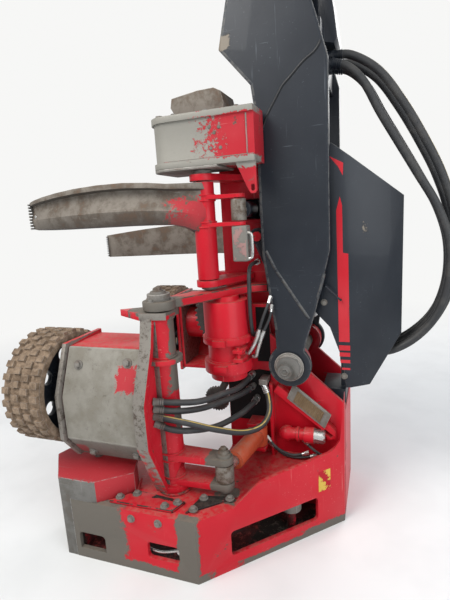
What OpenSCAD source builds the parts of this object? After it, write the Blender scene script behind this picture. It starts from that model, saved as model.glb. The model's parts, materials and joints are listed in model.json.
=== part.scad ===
// Forestry harvester head, standing on its main saw box with the hanger up.
// -X is the log side, +X the hanger side, -Y the saw box side, +Z along the log.

/* [Base and saw box] */
// Front end of the saw box
box_front_x = -885; // [-940:5:-860]
// Corner where the long wall meets the slanted wall
box_corner_x = -260; // [-300:5:-220]
// Outer face of the saw box
box_y = -830; // [-860:5:-800]
// Back end of the chassis base
base_back_x = 305; // [290:1:330]
// Height of the deck over the bar
deck_z = 300; // [290:1:330]
// Thickness of the walls of the base
wall_t = 20; // [14:1:26]
// Thickness of the floor of the base
floor_t = 16; // [10:1:24]
// Height of the plane that the main bar swings in
bar_z = 150; // [130:1:170]
// Height of the slots for the main bar
bar_slot_h = 70; // [50:1:90]

/* [Chassis] */
// Front face of the chassis column
column_front_x = -300; // [-310:1:-280]
// Half width of the chassis over its side plates
column_half_w = 200; // [190:1:210]
// Thickness of the chassis plates
plate_t = 20; // [14:1:26]
// Height of the chassis column
column_h = 1900; // [1860:5:1940]
// Half width of the upper column over its side plates
upper_half_w = 150; // [140:1:154]
// Back face of the chassis column above the pivot
column_back_x = -20; // [-40:1:-10]

/* [Hanger] */
// Place of the hanger pin towards the back
pin_x = 50; // [40:1:60]
// Height of the hanger pin
pin_z = 810; // [800:1:820]
// Radius of the hanger pin
pin_r = 45; // [35:1:50]
// Half width of the hanger over its plates
hanger_half_w = 280; // [275:1:300]
// Thickness of the hanger plates
hanger_t = 30; // [20:1:30]
// Height of the face that the rotator bolts to
rotator_z = 2680; // [2660:5:2720]
// Pitch circle of the rotator bolts
rotator_pcd = 280; // [240:5:300]
// Radius of the rotator bolt holes
rotator_hole_r = 11; // [8:0.5:13]

/* [Drive arms] */
// Place of the arm pivots towards the front
arm_x = -445; // [-455:1:-435]
// Distance of the arm pivots from the centre plane
arm_y = 620; // [610:1:630]
// Radius of the arm pins
arm_pin_r = 32; // [26:1:36]
// Radius of the arm tubes
arm_tube_r = 56; // [50:1:60]
// Top of the arm tubes
arm_top_z = 1160; // [1140:1:1165]
// Length of the cylinder lever
arm_lever = 255; // [245:1:265]
// Height of the wheel axis
wheel_z = 780; // [770:1:790]
// Radius of the drive wheels to the lug tips
wheel_r = 275; // [260:1:280]
// Width of the drive wheels
wheel_w = 200; // [180:1:220]
// Back face of the drive wheels
wheel_back_x = -935; // [-945:1:-930]

/* [Delimbing arms] */
// Place of the delimbing pivots towards the front
limb_x = -300; // [-310:1:-295]
// Distance of the delimbing pivots from the centre plane
limb_y = 380; // [370:1:390]
// Radius of the delimbing pins
limb_pin_r = 28; // [22:1:32]
// Radius of the delimbing tubes
limb_tube_r = 50; // [46:1:54]
// Lower lug of the delimbing pivots
limb_low_z = 1225; // [1222:1:1230]
// Upper lug of the delimbing pivots
limb_high_z = 1705; // [1700:1:1707]
// Middle height of the near delimbing blade
limb_near_z = 1592; // [1588:1:1596]
// Middle height of the far delimbing blade
limb_far_z = 1375; // [1368:1:1380]

/* [Hidden] */
$fn = 48;

red = [0.72, 0.07, 0.09];
black = [0.13, 0.14, 0.16];
steel = [0.45, 0.43, 0.39];
mud = [0.38, 0.28, 0.19];

// Radial gap of a pin in its bore
running = 0.05;
// Axial gap beside a moving hub
side_gap = 5;
inner_half_w = column_half_w - plate_t;
hanger_inner = hanger_half_w - hanger_t;

// Plate of an outline given in X and Z, from y0 to y1
module xz_plate(points, y0, y1) {
    translate([0, y1, 0]) rotate([90, 0, 0]) linear_extrude(y1 - y0) polygon(points);
}

// Plate of an outline given in X and Y, from z0 to z1
module xy_plate(points, z0, z1) {
    translate([0, 0, z0]) linear_extrude(z1 - z0) polygon(points);
}

module block(low, high) {
    translate(low) cube(high - low);
}

module post(x, y, z0, z1, r) {
    translate([x, y, z0]) cylinder(r = r, h = z1 - z0);
}

// Rod along Y
module bar_y(x, z, y0, y1, r) {
    translate([x, y1, z]) rotate([90, 0, 0]) cylinder(r = r, h = y1 - y0);
}

// Plate of an outline given in Y and Z, from x0 to x1
module yz_plate(points, x0, x1) {
    translate([x0, 0, 0]) rotate([90, 0, 90]) linear_extrude(x1 - x0) polygon(points);
}

// Toothed disc along Y, with teeth of height tooth_h
module tooth_disc(x, z, y0, y1, r, tooth_h, count) {
    step = 360 / count;
    flank = [for (k = [0:count - 1]) each [
        (r - tooth_h) * [cos((k - 0.3) * step), sin((k - 0.3) * step)],
        r * [cos((k - 0.15) * step), sin((k - 0.15) * step)],
        r * [cos((k + 0.15) * step), sin((k + 0.15) * step)],
        (r - tooth_h) * [cos((k + 0.3) * step), sin((k + 0.3) * step)]]];
    translate([x, y1, z]) rotate([90, 0, 0]) linear_extrude(y1 - y0) polygon(flank);
}

// Rod along X
module bar_x(y, z, x0, x1, r) {
    translate([x0, y, z]) rotate([0, 90, 0]) cylinder(r = r, h = x1 - x0);
}

// Straight link in plan from a to b with width w
function link_points(a, b, w) =
    let (d = (b - a) / norm(b - a), n = [-d[1], d[0]] * w / 2)
    [a + n, a - n, b - n, b + n];

module both_sides() {
    children();
    mirror([0, 1, 0]) children();
}

// Chassis
base_z = floor_t;
ear_r = 90;
belt_z = 1080;
waist_z = 880;
upper_inner_w = upper_half_w - plate_t;
side_outline = [
    [column_front_x, base_z], [base_back_x, base_z], [base_back_x, 600],
    [pin_x + ear_r, pin_z - 60], [pin_x + 20, pin_z], [-60, 950], [-60, belt_z + plate_t],
    [column_front_x, belt_z + plate_t]
];
upper_outline = [
    [column_front_x, waist_z], [-80, waist_z], [column_back_x, 1000],
    [column_back_x, column_h], [column_front_x, column_h]
];

// Ears for a cylinder's base pin, welded to the side of the chassis
module arm_cylinder_ears() {
    for (z = [arm_cyl_z - ear_gap - ear_t, arm_cyl_z + ear_gap])
        block([arm_base[0] - 45, column_half_w, z], [arm_base[0] + 45, -arm_base[1] + 40, z + ear_t]);
    post(arm_base[0], -arm_base[1], arm_cyl_z - ear_gap - ear_t, arm_cyl_z + ear_gap + ear_t, cyl_pin_r);
}

module limb_cylinder_ears() {
    for (z = [limb_cyl_z - ear_gap - ear_t, limb_cyl_z + ear_gap])
        block([limb_base[0] - 40, -limb_base[1] - 40, z], [limb_base[0] + 40, upper_inner_w, z + ear_t]);
    post(limb_base[0], -limb_base[1], limb_cyl_z - ear_gap - ear_t, limb_cyl_z + ear_gap + ear_t, cyl_pin_r);
}

module frame_wheel_ears() {
    bar_y(frame_wheel_x, frame_wheel_z, frame_ear_y, frame_ear_y + 25, 60);
    block([frame_wheel_x, frame_ear_y, frame_wheel_z - 60],
          [column_front_x + 60, frame_ear_y + 25, frame_wheel_z + 60]);
    block([column_front_x, frame_ear_y, frame_wheel_z - 60],
          [column_front_x + 60, upper_inner_w, frame_wheel_z + 60]);
}

module measuring_ears() {
    for (y = measuring_ear_y)
        block([measure_x - 22, y, measure_z - 22], [column_front_x, y + 12, measure_z + 22]);
    bar_y(measure_x, measure_z, measuring_ear_y[0], measuring_ear_y[1] + 12, measure_pin_r);
}

// Two arms and a cross bar that the valve cover's side walls seat against
module cover_carrier() color(red) {
    both_sides() block([column_back_x, upper_inner_w, cover_bar_z], [cover_bar_x, upper_half_w, cover_bar_z + 40]);
    block([cover_bar_x, -cover_half_w + cover_t, cover_bar_z],
          [cover_bar_x + 20, cover_half_w - cover_t, cover_bar_z + 40]);
}

gusset_outline = [[-66, deck_z], [-50, deck_z], [-50, 688], [-66, 700]];

module chassis_frame() color(red) difference() {
    union() {
        both_sides() {
            xz_plate(side_outline, inner_half_w, column_half_w);
            bar_y(pin_x, pin_z, inner_half_w, hanger_inner - side_gap, ear_r);
            block([column_front_x, upper_half_w, belt_z], [-60, column_half_w, belt_z + plate_t]);
            block([column_front_x, upper_half_w, waist_z], [-80, column_half_w, waist_z + plate_t]);
        }
        block([column_front_x, -inner_half_w, base_z], [column_front_x + plate_t, inner_half_w, 760]);
        block([base_back_x - plate_t, -inner_half_w, base_z], [base_back_x, inner_half_w, 560]);
        xz_plate(gusset_outline, -column_half_w - 45, -column_half_w);
    }
    bar_y(pin_x, pin_z, -hanger_half_w, hanger_half_w, pin_r + running);
    block([column_front_x - 1, -column_half_w - 1, bar_z - bar_slot_h / 2],
          [30, inner_half_w - 1, bar_z + bar_slot_h / 2]);
    block([column_front_x - 1, 0, bar_z - bar_slot_h / 2],
          [column_front_x + 40, column_half_w + 1, bar_z + bar_slot_h / 2]);
}

module column_top() color(red) difference() {
    union() {
        both_sides() {
            xz_plate(upper_outline, upper_inner_w, upper_half_w);
            bar_y(tilt_a[0], tilt_a[1], upper_inner_w, hanger_inner - side_gap, tilt_pin_r);
            bar_y(tilt_a[0], tilt_a[1], upper_inner_w, tilt_y - tilt_r - side_gap, 60);
        }
        block([column_front_x, -upper_inner_w, 1240], [column_front_x + plate_t, upper_inner_w, column_h]);
        block([column_front_x, -upper_inner_w, column_h - plate_t], [column_back_x, upper_inner_w, column_h]);
    }
    block([column_front_x - 1, -upper_half_w - 1, top_bar_z - top_slot_h / 2],
          [-110, upper_inner_w - 1, top_bar_z + top_slot_h / 2]);
    both_sides() block([limb_base[0] - 65, upper_inner_w - 1, limb_cyl_z - 50],
                       [column_back_x + 1, upper_half_w + 1, limb_cyl_z + 50]);
}

module cylinder_ears() color(red) both_sides() {
    arm_cylinder_ears();
    limb_cylinder_ears();
}

module wheel_ears() color(red) {
    both_sides() frame_wheel_ears();
    bar_y(frame_wheel_x, frame_wheel_z, -frame_ear_y - 25, frame_ear_y + 25, frame_shaft_r);
    measuring_ears();
}

// Main saw box
box_inner_y = -430;
box_outline = [
    [box_front_x, box_y], [box_corner_x, box_y],
    [base_back_x, box_y + base_back_x - box_corner_x], [base_back_x, column_half_w],
    [column_front_x, column_half_w], [column_front_x, box_inner_y], [box_front_x, box_inner_y]
];
deck_outline = [
    [box_front_x, box_y], [box_corner_x, box_y],
    [base_back_x, box_y + base_back_x - box_corner_x], [base_back_x, -column_half_w],
    [column_front_x, -column_half_w], [column_front_x, box_inner_y], [box_front_x, box_inner_y]
];
slant_y = box_y + base_back_x - box_corner_x;
slant_in = wall_t * sqrt(2);
// Band of the slanted wall in plan
slant_band = [
    [box_corner_x, box_y], [base_back_x, slant_y], [base_back_x, slant_y + slant_in], [box_corner_x, box_y + slant_in]
];
// Room for the bar and chain in plan, open to the column and the log
bar_room = [
    [box_front_x + wall_t, box_y + wall_t], [box_corner_x - slant_in + wall_t, box_y + wall_t],
    [base_back_x + 40, slant_y + slant_in + 40], [base_back_x + 40, 0], [box_front_x + wall_t, 0]
];
// Part of the slanted wall that rises over the deck, in X and Z
rise_side = [
    [-130, deck_z - 10], [base_back_x + 1, deck_z - 10], [base_back_x + 1, 700], [296, 560], [286, 450],
    [262, 415], [225, 398], [120, 390], [20, 384], [-43, 372], [-130, deck_z]
];
// Columns of the slot table: x0, x1, z0, z1
slot_table = [[-860, -719, 50, 134], [-496, -342, 80, 160]];

module saw_box() color(red) difference() {
    union() {
        xy_plate(box_outline, 0, floor_t);
        difference() {
            xy_plate(deck_outline, floor_t - 1, deck_z);
            xy_plate(bar_room, floor_t - 2, deck_z - wall_t);
        }
        intersection() {
            xy_plate(slant_band, deck_z - 15, 700);
            xz_plate(rise_side, box_y - 10, 0);
        }
        post(main_pivot[0], main_pivot[1], floor_t - 1, deck_z - wall_t + 1, bar_pin_r);
    }
    for (slot = slot_table)
        block([slot[0], box_y - 1, slot[2]], [slot[1], box_y + wall_t + 1, slot[3]]);
    translate([box_corner_x, box_y, 0]) rotate([0, 0, 45])
        block([165, -1, 70], [635, wall_t + 1, 190]);
}

// Nose at the log end, in plan, outside the saw box
nose_plan = [
    [box_front_x, box_y], [-940, box_y], [-1080, -660], [-1060, -600], [-1000, -560], [box_front_x, -560]
];
// Raised part of the nose over the deck, in plan
hood_plan = [
    [box_front_x, box_y], [-790, box_y], [-745, -822], [-605, -712], [-650, -600], [box_front_x, -560]
];
hood_top_z = deck_z + 105;
hood_t = 18;

module saw_box_nose() color(steel) {
    difference() {
        xy_plate(nose_plan, 0, hood_top_z);
        xy_plate([[-903, -812], [-932, -812], [-1060, -657], [-1044, -608], [-993, -578], [-903, -578]],
                 floor_t, hood_top_z - hood_t);
        block([-1010, -590, floor_t], [-915, -550, hood_top_z - hood_t]);
    }
    difference() {
        xy_plate(hood_plan, deck_z, hood_top_z);
        xy_plate([[-860, -812], [-795, -812], [-752, -804], [-632, -708], [-665, -612], [-860, -578]],
                 deck_z - 1, hood_top_z - hood_t);
        block([-860, -640, deck_z - 1], [-640, -550, hood_top_z - hood_t]);
    }
}

module deck_plates() color(red) {
    xy_plate([[-688, -808], [-594, -705], [-345, -725], [-375, -800]], deck_z, deck_z + 14);
    xy_plate([[-320, -790], [-255, -740], [-130, -630], [-290, -660]], deck_z, deck_z + 10);
}

// Drive arm brackets and pins
foot_top_z = deck_z + 12;
bracket_z = arm_top_z + side_gap;
bracket_t = 40;
pin_top_z = bracket_z + bracket_t + 30;

module arm_bracket_plate(z0, z1, side_w) {
    difference() {
        union() {
            xy_plate(link_points([arm_x, arm_y], [-150, side_w + 20], 90), z0, z1);
            xy_plate([[-215, side_w], [-60, side_w], [-60, side_w + 60], [-150, side_w + 90]], z0, z1);
            post(arm_x, arm_y, z0, z1, 72);
        }
        post(arm_x, arm_y, z0 - 1, z1 + 1, arm_pin_r + running);
        block([-500, 0, z0 - 1], [100, side_w, z1 + 1]);
    }
}

module arm_bracket_near() color(red) mirror([0, 1, 0]) {
    arm_bracket_plate(bracket_z, bracket_z + bracket_t, upper_half_w);
    difference() {
        post(arm_x, arm_y, deck_z, foot_top_z, 80);
        post(arm_x, arm_y, deck_z - 1, foot_top_z + 1, arm_pin_r + running);
    }
}

module arm_bracket_far() color(red) {
    arm_bracket_plate(bracket_z, bracket_z + bracket_t, upper_half_w);
    arm_bracket_plate(foot_top_z - bracket_t, foot_top_z, column_half_w);
}

module drive_arm_pins() color(steel) {
    both_sides() {
        post(arm_x, arm_y, deck_z, pin_top_z, arm_pin_r);
        post(arm_x, arm_y, bracket_z + bracket_t, pin_top_z, arm_pin_r + 18);
    }
}

// Drive arms
arm_low_z = foot_top_z + side_gap;
arm_cyl_z = 420;
cyl_pin_r = 20;
arm_base = [-130, -262];
ear_gap = 55;
ear_t = 20;
motor_back_x = arm_x - arm_tube_r + 10;
motor_front_x = -905;
motor_wall = 20;
motor_inner_y = 460;
// Sections in Y and Z of the motor housing, its room, its cover and the flange at its end
motor_section = [[motor_inner_y, 480], [motor_inner_y, 1000], [700, 1000], [790, 790], [790, 600], [700, 480]];
motor_room = [[motor_inner_y - 1, 500], [motor_inner_y - 1, 980], [688, 980], [770, 785], [770, 606], [690, 500]];
cover_section = [[700, 1000], [790, 790], [790, 600], [700, 480], [711, 470], [804, 596], [804, 794], [713, 1008]];
flange_section = [[450, 464], [450, 1018], [722, 1018], [816, 798], [816, 592], [720, 464]];
// Worn strap along the outside of the arm, and the web behind it
strap_section = [
    [690, 1150], [722, 1018], [822, 796], [822, 596], [695, arm_low_z], [671, arm_low_z], [798, 602],
    [798, 790], [700, 1010], [668, 1150]
];
web_section = [[610, 340], [685, 340], [803, 600], [803, 790], [704, 1010], [680, 1130], [610, 1130]];
arm_pin_x = arm_x + arm_lever;
lever_gap = 45;
lever_t = 30;

module lever_plate(z) {
    xy_plate([[arm_x, arm_y - 50], [arm_pin_x, arm_y - 42], [arm_pin_x, arm_y + 42], [arm_x, arm_y + 50]], z, z + lever_t);
    post(arm_pin_x, arm_y, z, z + lever_t, 42);
    post(arm_pin_x, arm_y, z < arm_cyl_z ? z - 16 : z, z < arm_cyl_z ? z + lever_t : z + lever_t + 16, 32);
}

module drive_arm() difference() {
    union() {
        post(arm_x, arm_y, arm_low_z, arm_top_z, arm_tube_r);
        difference() {
            yz_plate(motor_section, motor_front_x + motor_wall, motor_back_x);
            yz_plate(motor_room, motor_front_x + 2 * motor_wall, motor_back_x - motor_wall);
        }
        yz_plate(flange_section, motor_front_x, motor_front_x + motor_wall);
        yz_plate(strap_section, arm_x - 58, arm_x - 3);
        yz_plate(web_section, arm_x - 45, arm_x - 25);
        xy_plate([[arm_x + 60, arm_y - 62], [arm_x + 60, arm_y + 62], [arm_x - 60, arm_y + 80],
                  [arm_x - 200, arm_y], [arm_x - 60, arm_y - 80]], arm_top_z - 30, arm_top_z);
        post(arm_x, arm_y, arm_low_z, arm_low_z + 25, 76);
        post(arm_x, arm_y, 930, 950, 84);
        lever_plate(arm_cyl_z - lever_gap - lever_t);
        lever_plate(arm_cyl_z + lever_gap);
        bar_x(arm_y, wheel_z, disc_x - shaft_in, motor_front_x + 30, shaft_r);
        bar_x(arm_y, wheel_z, motor_front_x + 30, -700, 110);
    }
    post(arm_x, arm_y, arm_low_z - 1, arm_top_z + 1, arm_pin_r + running);
}

module motor_cover() {
    yz_plate(cover_section, motor_front_x + motor_wall + 8, arm_x - 60);
}

module drive_arm_near() color(red) mirror([0, 1, 0]) drive_arm();
module drive_arm_far() color(red) drive_arm();
module motor_cover_near() color(steel) mirror([0, 1, 0]) motor_cover();
module motor_cover_far() color(steel) motor_cover();

// Drive wheels
shaft_r = 40;
shaft_in = 22;
rim_r = 226;
disc_x = wheel_back_x - 60;
disc_t = 24;

module wheel_rim() difference() {
    union() {
        bar_x(arm_y, wheel_z, disc_x - disc_t, disc_x, rim_r);
        bar_x(arm_y, wheel_z, disc_x - disc_t - 10, disc_x + 20, 80);
    }
    bar_x(arm_y, wheel_z, disc_x - shaft_in - 1, motor_front_x, shaft_r + running);
    for (turn = [0:60:300]) translate([0, arm_y, wheel_z]) rotate([turn, 0, 0])
        bar_x(0, 150, disc_x - disc_t - 1, disc_x + 1, 32);
}

// Columns of the lug table: place along the axle, turn in steps of a lug
lug_rows = [[-77, 0], [-26, 0.5], [26, 0], [77, 0.5]];
lug_count = 28;
lug_step = 360 / lug_count;
tread_r = 256;

module wheel_tread() difference() {
    union() {
        bar_x(arm_y, wheel_z, wheel_back_x - wheel_w, wheel_back_x, tread_r);
        for (row = lug_rows) for (k = [0:lug_count - 1])
            translate([wheel_back_x - wheel_w / 2 + row[0], arm_y, wheel_z]) rotate([(k + row[1]) * lug_step, 0, 0])
                block([-19, -15, tread_r - 12], [19, 15, wheel_r - 1]);
    }
    bar_x(arm_y, wheel_z, wheel_back_x - wheel_w - 1, wheel_back_x + 1, rim_r);
}

module wheel_rim_near() color(black) mirror([0, 1, 0]) wheel_rim();
module wheel_rim_far() color(black) wheel_rim();
module wheel_tread_near() color(mud) mirror([0, 1, 0]) wheel_tread();
module wheel_tread_far() color(mud) wheel_tread();

// Frame wheel with its teeth towards the log
frame_wheel_x = -360;
frame_wheel_z = 1000;
frame_wheel_r = 170;
frame_wheel_w = 120;
frame_shaft_r = 30;
frame_ear_y = frame_wheel_w / 2 + 15;

module frame_wheel() color(steel) difference() {
    union() {
        for (y = [-frame_wheel_w / 2, 8])
            tooth_disc(frame_wheel_x, frame_wheel_z, y, y + frame_wheel_w / 2 - 8, frame_wheel_r, 13, 36);
        bar_y(frame_wheel_x, frame_wheel_z, -9, 9, frame_wheel_r - 22);
    }
    bar_y(frame_wheel_x, frame_wheel_z, -frame_wheel_w, frame_wheel_w, frame_shaft_r + running);
}

// Cylinder along its own +X from the barrel's pin
module cylinder_barrel(length, r, rod_r, eye_w, pin_r) difference() {
    union() {
        bar_x(0, 0, 30, length, r);
        post(0, 0, -eye_w / 2, eye_w / 2, r + 3);
    }
    post(0, 0, -eye_w, eye_w, pin_r + running);
    bar_x(0, 0, bore_start, length + 1, rod_r + running);
}

// The eye's own pin fills its bore, so the eye is plain
module cylinder_rod(start, end, rod_r, eye_r, eye_w) {
    bar_x(0, 0, start, end, rod_r);
    post(end, 0, -eye_w / 2, eye_w / 2, eye_r);
}

bore_start = 60;
arm_cyl_vec = [arm_pin_x, -arm_y] - arm_base;
arm_cyl_len = norm(arm_cyl_vec);
arm_cyl_turn = atan2(arm_cyl_vec[1], arm_cyl_vec[0]);

module arm_cylinder_place() {
    translate([arm_base[0], arm_base[1], arm_cyl_z]) rotate([0, 0, arm_cyl_turn]) children();
}

module arm_barrel_near() color(black) arm_cylinder_place() cylinder_barrel(arm_cyl_len - 95, 45, 24, 100, cyl_pin_r);
module arm_rod_near() color(steel) arm_cylinder_place()
    cylinder_rod(100, arm_cyl_len, 24, 42, 2 * lever_gap - 10);
module arm_barrel_far() mirror([0, 1, 0]) arm_barrel_near();
module arm_rod_far() mirror([0, 1, 0]) arm_rod_near();

// Delimbing arms
limb_lever = 165;
limb_cyl_z = 1570;
limb_base = [-165, -60];
limb_pin_x = limb_x + limb_lever;
limb_gap = 52;

module limb_brackets() color(red) both_sides() for (z = [limb_low_z, limb_high_z]) difference() {
    union() {
        xy_plate(link_points([limb_x, limb_y], [-190, upper_half_w - 10], 110), z, z + 30);
        post(limb_x, limb_y, z, z + 30, 58);
    }
    post(limb_x, limb_y, z - 1, z + 31, limb_pin_r + running);
    block([-600, 0, z - 1], [0, upper_half_w, z + 31]);
}

module limb_pins() color(steel) both_sides() {
    post(limb_x, limb_y, limb_low_z, limb_high_z + 45, limb_pin_r);
    post(limb_x, limb_y, limb_high_z + 30, limb_high_z + 45, limb_pin_r + 16);
}

limb_low = limb_low_z + 30 + side_gap;
limb_high = limb_high_z - side_gap;

module limb_lever_part() difference() {
    union() {
        post(limb_x, limb_y, limb_low, limb_high, limb_tube_r);
        for (z = [limb_cyl_z - limb_gap - 18, limb_cyl_z + limb_gap]) {
            xy_plate([[limb_x, limb_y - 46], [limb_pin_x, limb_y - 30], [limb_pin_x, limb_y + 30],
                      [limb_x, limb_y + 46]], z, z + 18);
            post(limb_pin_x, limb_y, z, z + 18, 30);
        }
    }
    post(limb_x, limb_y, limb_low - 1, limb_high + 1, limb_pin_r + running);
}

// Columns of the blade table: x, y of the inner face, thickness, low and high edge from the middle height
blade_table = [
    [-320, 345, 84, -150, 105], [-352, 382, 88, -118, 105], [-390, 404, 86, -90, 105], [-440, 420, 84, -75, 107],
    [-520, 429, 82, -71, 118], [-640, 432, 80, -69, 127], [-780, 427, 76, -69, 128], [-920, 414, 72, -69, 123],
    [-1050, 394, 66, -69, 113], [-1160, 370, 58, -68, 102], [-1250, 343, 46, -66, 92], [-1316, 318, 32, -64, 84]
];
// Columns of the section table: share of the thickness, share of the height
blade_section = [[0, 0], [0, 1], [0.95, 1], [1, 0.88], [0.55, 0.84], [0.57, 0.66], [1, 0.36], [0.7, 0.04]];
// The groove under the lip runs out towards the tube
function groove_share(share, i) = share > 0.5 && share < 0.6 ? share + (1 - share) * max(0, 3 - i) / 3 : share;

function blade_ring(i, z) =
    let (row = blade_table[i], a = blade_table[max(i - 1, 0)], b = blade_table[min(i + 1, len(blade_table) - 1)],
         t = unit([b[0] - a[0], b[1] - a[1]]), out = [-t[1], t[0]], side = t[0] < 0 ? -1 : 1)
    [for (s = blade_section) let (wide = side * row[2] * groove_share(s[0], i))
        [row[0] + out[0] * wide, row[1] + out[1] * wide,
         max(z + row[3], limb_low + 2) * (1 - s[1]) + (z + row[4]) * s[1]]];

module limb_blade(z) difference() {
    count = len(blade_table);
    sides = len(blade_section);
    points = [for (i = [0:count - 1]) each blade_ring(i, z)];
    walls = [for (i = [0:count - 2]) for (k = [0:sides - 1]) let (n = (k + 1) % sides)
        [i * sides + k, i * sides + n, (i + 1) * sides + n, (i + 1) * sides + k]];
    caps = [[for (k = [sides - 1:-1:0]) k], [for (k = [0:sides - 1]) (count - 1) * sides + k]];
    polyhedron(points, concat(walls, caps));
    post(limb_x, limb_y, z - 200, z + 150, limb_tube_r);
}

module limb_arm_near() color(mud) mirror([0, 1, 0]) limb_blade(limb_near_z);
module limb_arm_far() color(mud) limb_blade(limb_far_z);
module limb_lever_near() color(red) mirror([0, 1, 0]) limb_lever_part();
module limb_lever_far() color(red) limb_lever_part();

limb_cyl_vec = [limb_pin_x, -limb_y] - limb_base;
limb_cyl_len = norm(limb_cyl_vec);
limb_cyl_turn = atan2(limb_cyl_vec[1], limb_cyl_vec[0]);

module limb_cylinder_place() {
    translate([limb_base[0], limb_base[1], limb_cyl_z]) rotate([0, 0, limb_cyl_turn]) children();
}

module limb_barrel_near() color(black) limb_cylinder_place() cylinder_barrel(limb_cyl_len - 85, 38, 20, 94, cyl_pin_r);
module limb_rod_near() color(steel) limb_cylinder_place()
    cylinder_rod(90, limb_cyl_len, 20, 34, 94);
module limb_barrel_far() mirror([0, 1, 0]) limb_barrel_near();
module limb_rod_far() mirror([0, 1, 0]) limb_rod_near();

// Topping saw box, knife and bar
top_low_z = column_h - 135;
top_high_z = column_h + 85;
top_box_front_x = -520;
top_box_back_x = -75;
top_box_near_x = -30;
top_box_step_y = -hanger_half_w - 3 * side_gap;
top_box_y = -450;
top_wall = 12;
top_bar_z = column_h - 50;
top_slot_h = 56;

top_lip = 10;
top_lip_h = 26;
top_corner_r = 90;

module top_box_shape(inset) {
    corner_x = top_box_front_x + top_corner_r;
    corner_y = top_box_y + top_corner_r;
    back_x = top_box_back_x - max(inset, 0);
    near_x = top_box_near_x - max(inset, 0);
    step_y = top_box_step_y - max(inset, 0);
    polygon([[corner_x, top_box_y + inset], [near_x, top_box_y + inset], [near_x, step_y], [back_x, step_y],
             [back_x, -upper_half_w - max(inset, 0)], [corner_x, -upper_half_w - max(inset, 0)]]);
    polygon([[top_box_front_x + inset, corner_y], [corner_x + 5, corner_y], [corner_x + 5, -upper_half_w - max(inset, 0)],
             [top_box_front_x + inset, -upper_half_w - max(inset, 0)]]);
    translate([corner_x, corner_y]) circle(r = top_corner_r - inset);
}

lug_hole = [-45, top_low_z - 108];
module top_saw_box() color(red) difference() {
    union() {
        translate([0, 0, top_low_z]) linear_extrude(top_high_z - top_low_z) top_box_shape(0);
        for (z = [top_low_z, top_high_z - top_lip_h])
            translate([0, 0, z]) linear_extrude(top_lip_h) top_box_shape(-top_lip);
        xz_plate([[lug_hole[0] - 78, top_low_z + top_wall], [top_box_near_x, top_low_z + top_wall],
                  [lug_hole[0] + 17, lug_hole[1] - 14], [lug_hole[0] + 8, lug_hole[1] - 24],
                  [lug_hole[0] - 8, lug_hole[1] - 24], [lug_hole[0] - 18, lug_hole[1] - 12]],
                 top_box_y, top_box_y + top_wall);
    }
    difference() {
        translate([0, 0, top_low_z + top_wall]) linear_extrude(top_high_z - top_low_z - 2 * top_wall)
            top_box_shape(top_wall);
        post(top_pivot[0], top_pivot[1], top_low_z, top_high_z, bar_pin_r);
    }
    block([top_box_front_x - 1, -240, top_bar_z - 40], [-110, -upper_half_w + 1, top_bar_z + 40]);
    bar_y(lug_hole[0], lug_hole[1] + 5, top_box_y - 1, top_box_y + top_wall + 1, 9);
    bar_y(lug_hole[0], lug_hole[1] - 5, top_box_y - 1, top_box_y + top_wall + 1, 9);
}

module top_saw_nose() color(steel) difference() {
    translate([0, 0, top_low_z - 12]) linear_extrude(12) top_box_shape(-top_lip);
    block([-195, top_box_y - 20, top_low_z - 14], [0, 0, top_low_z + 1]);
    block([-380, -upper_half_w - 80, top_low_z - 14], [0, 0, top_low_z + 1]);
}

// Knife over the topping saw box, and its foot on the column
module top_knife() color(steel) {
    xz_plate([[-430, top_high_z], [-468, top_high_z + 68], [-460, top_high_z + 108], [-330, top_high_z + 126],
              [-250, top_high_z + 128], [-216, top_high_z + 110], [-205, top_high_z + 60], [-214, top_high_z]],
             -300, -120);
    block([-290, -140, column_h], [-214, -60, top_high_z + 30]);
}

top_pivot = [-130, -330];

bar_pin_r = 22;

module saw_bar(pivot, z, length, half_w, t, park) translate([pivot[0], pivot[1], 0]) rotate([0, 0, park])
translate([-pivot[0], -pivot[1], 0]) difference() {
    union() {
        xy_plate([[pivot[0] - length, pivot[1] - half_w], [pivot[0], pivot[1] - half_w],
                  [pivot[0], pivot[1] + half_w], [pivot[0] - length, pivot[1] + half_w]], z - t / 2, z + t / 2);
        post(pivot[0] - length, pivot[1], z - t / 2, z + t / 2, half_w);
        post(pivot[0], pivot[1], z - t / 2 - 18, z + t / 2 + 18, half_w + 4);
    }
    post(pivot[0], pivot[1], z - 50, z + 50, bar_pin_r + running);
}

module top_bar() color(steel) saw_bar(top_pivot, top_bar_z, 330, 38, 12, 0);

// Main bar
main_pivot = [60, -400];
main_bar_len = 860;
main_park = 10.5;
module main_bar() color(steel) saw_bar(main_pivot, bar_z, main_bar_len, 46, 14, main_park);

// Valve cover at the back
cover_half_w = 235;
cover_t = 6;
cover_bar_x = 185;
cover_bar_z = column_h - 200;
cover_side = [
    [175, 1855], [260, 1828], [560, 1590], [560, 950], [420, 708], [312, 702], [300, 830], [240, 1000], [175, 1070]
];
function cover_plan(inset) = [
    [0, -cover_half_w + inset], [335, -cover_half_w + inset], [560 - inset, -110], [560 - inset, 110],
    [335, cover_half_w - inset], [0, cover_half_w - inset]
];

module valve_cover() color(black) {
    difference() {
        intersection() {
            xz_plate(cover_side, -cover_half_w, cover_half_w);
            xy_plate(cover_plan(0), 600, 1900);
        }
        intersection() {
            xz_plate([[100, 1868], [258, 1820], [560, 1580], [700, 950], [420, 600], [100, 600], [100, 1070]], -cover_half_w, cover_half_w);
            xy_plate(cover_plan(cover_t), 500, 1900);
        }
    }
}

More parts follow.
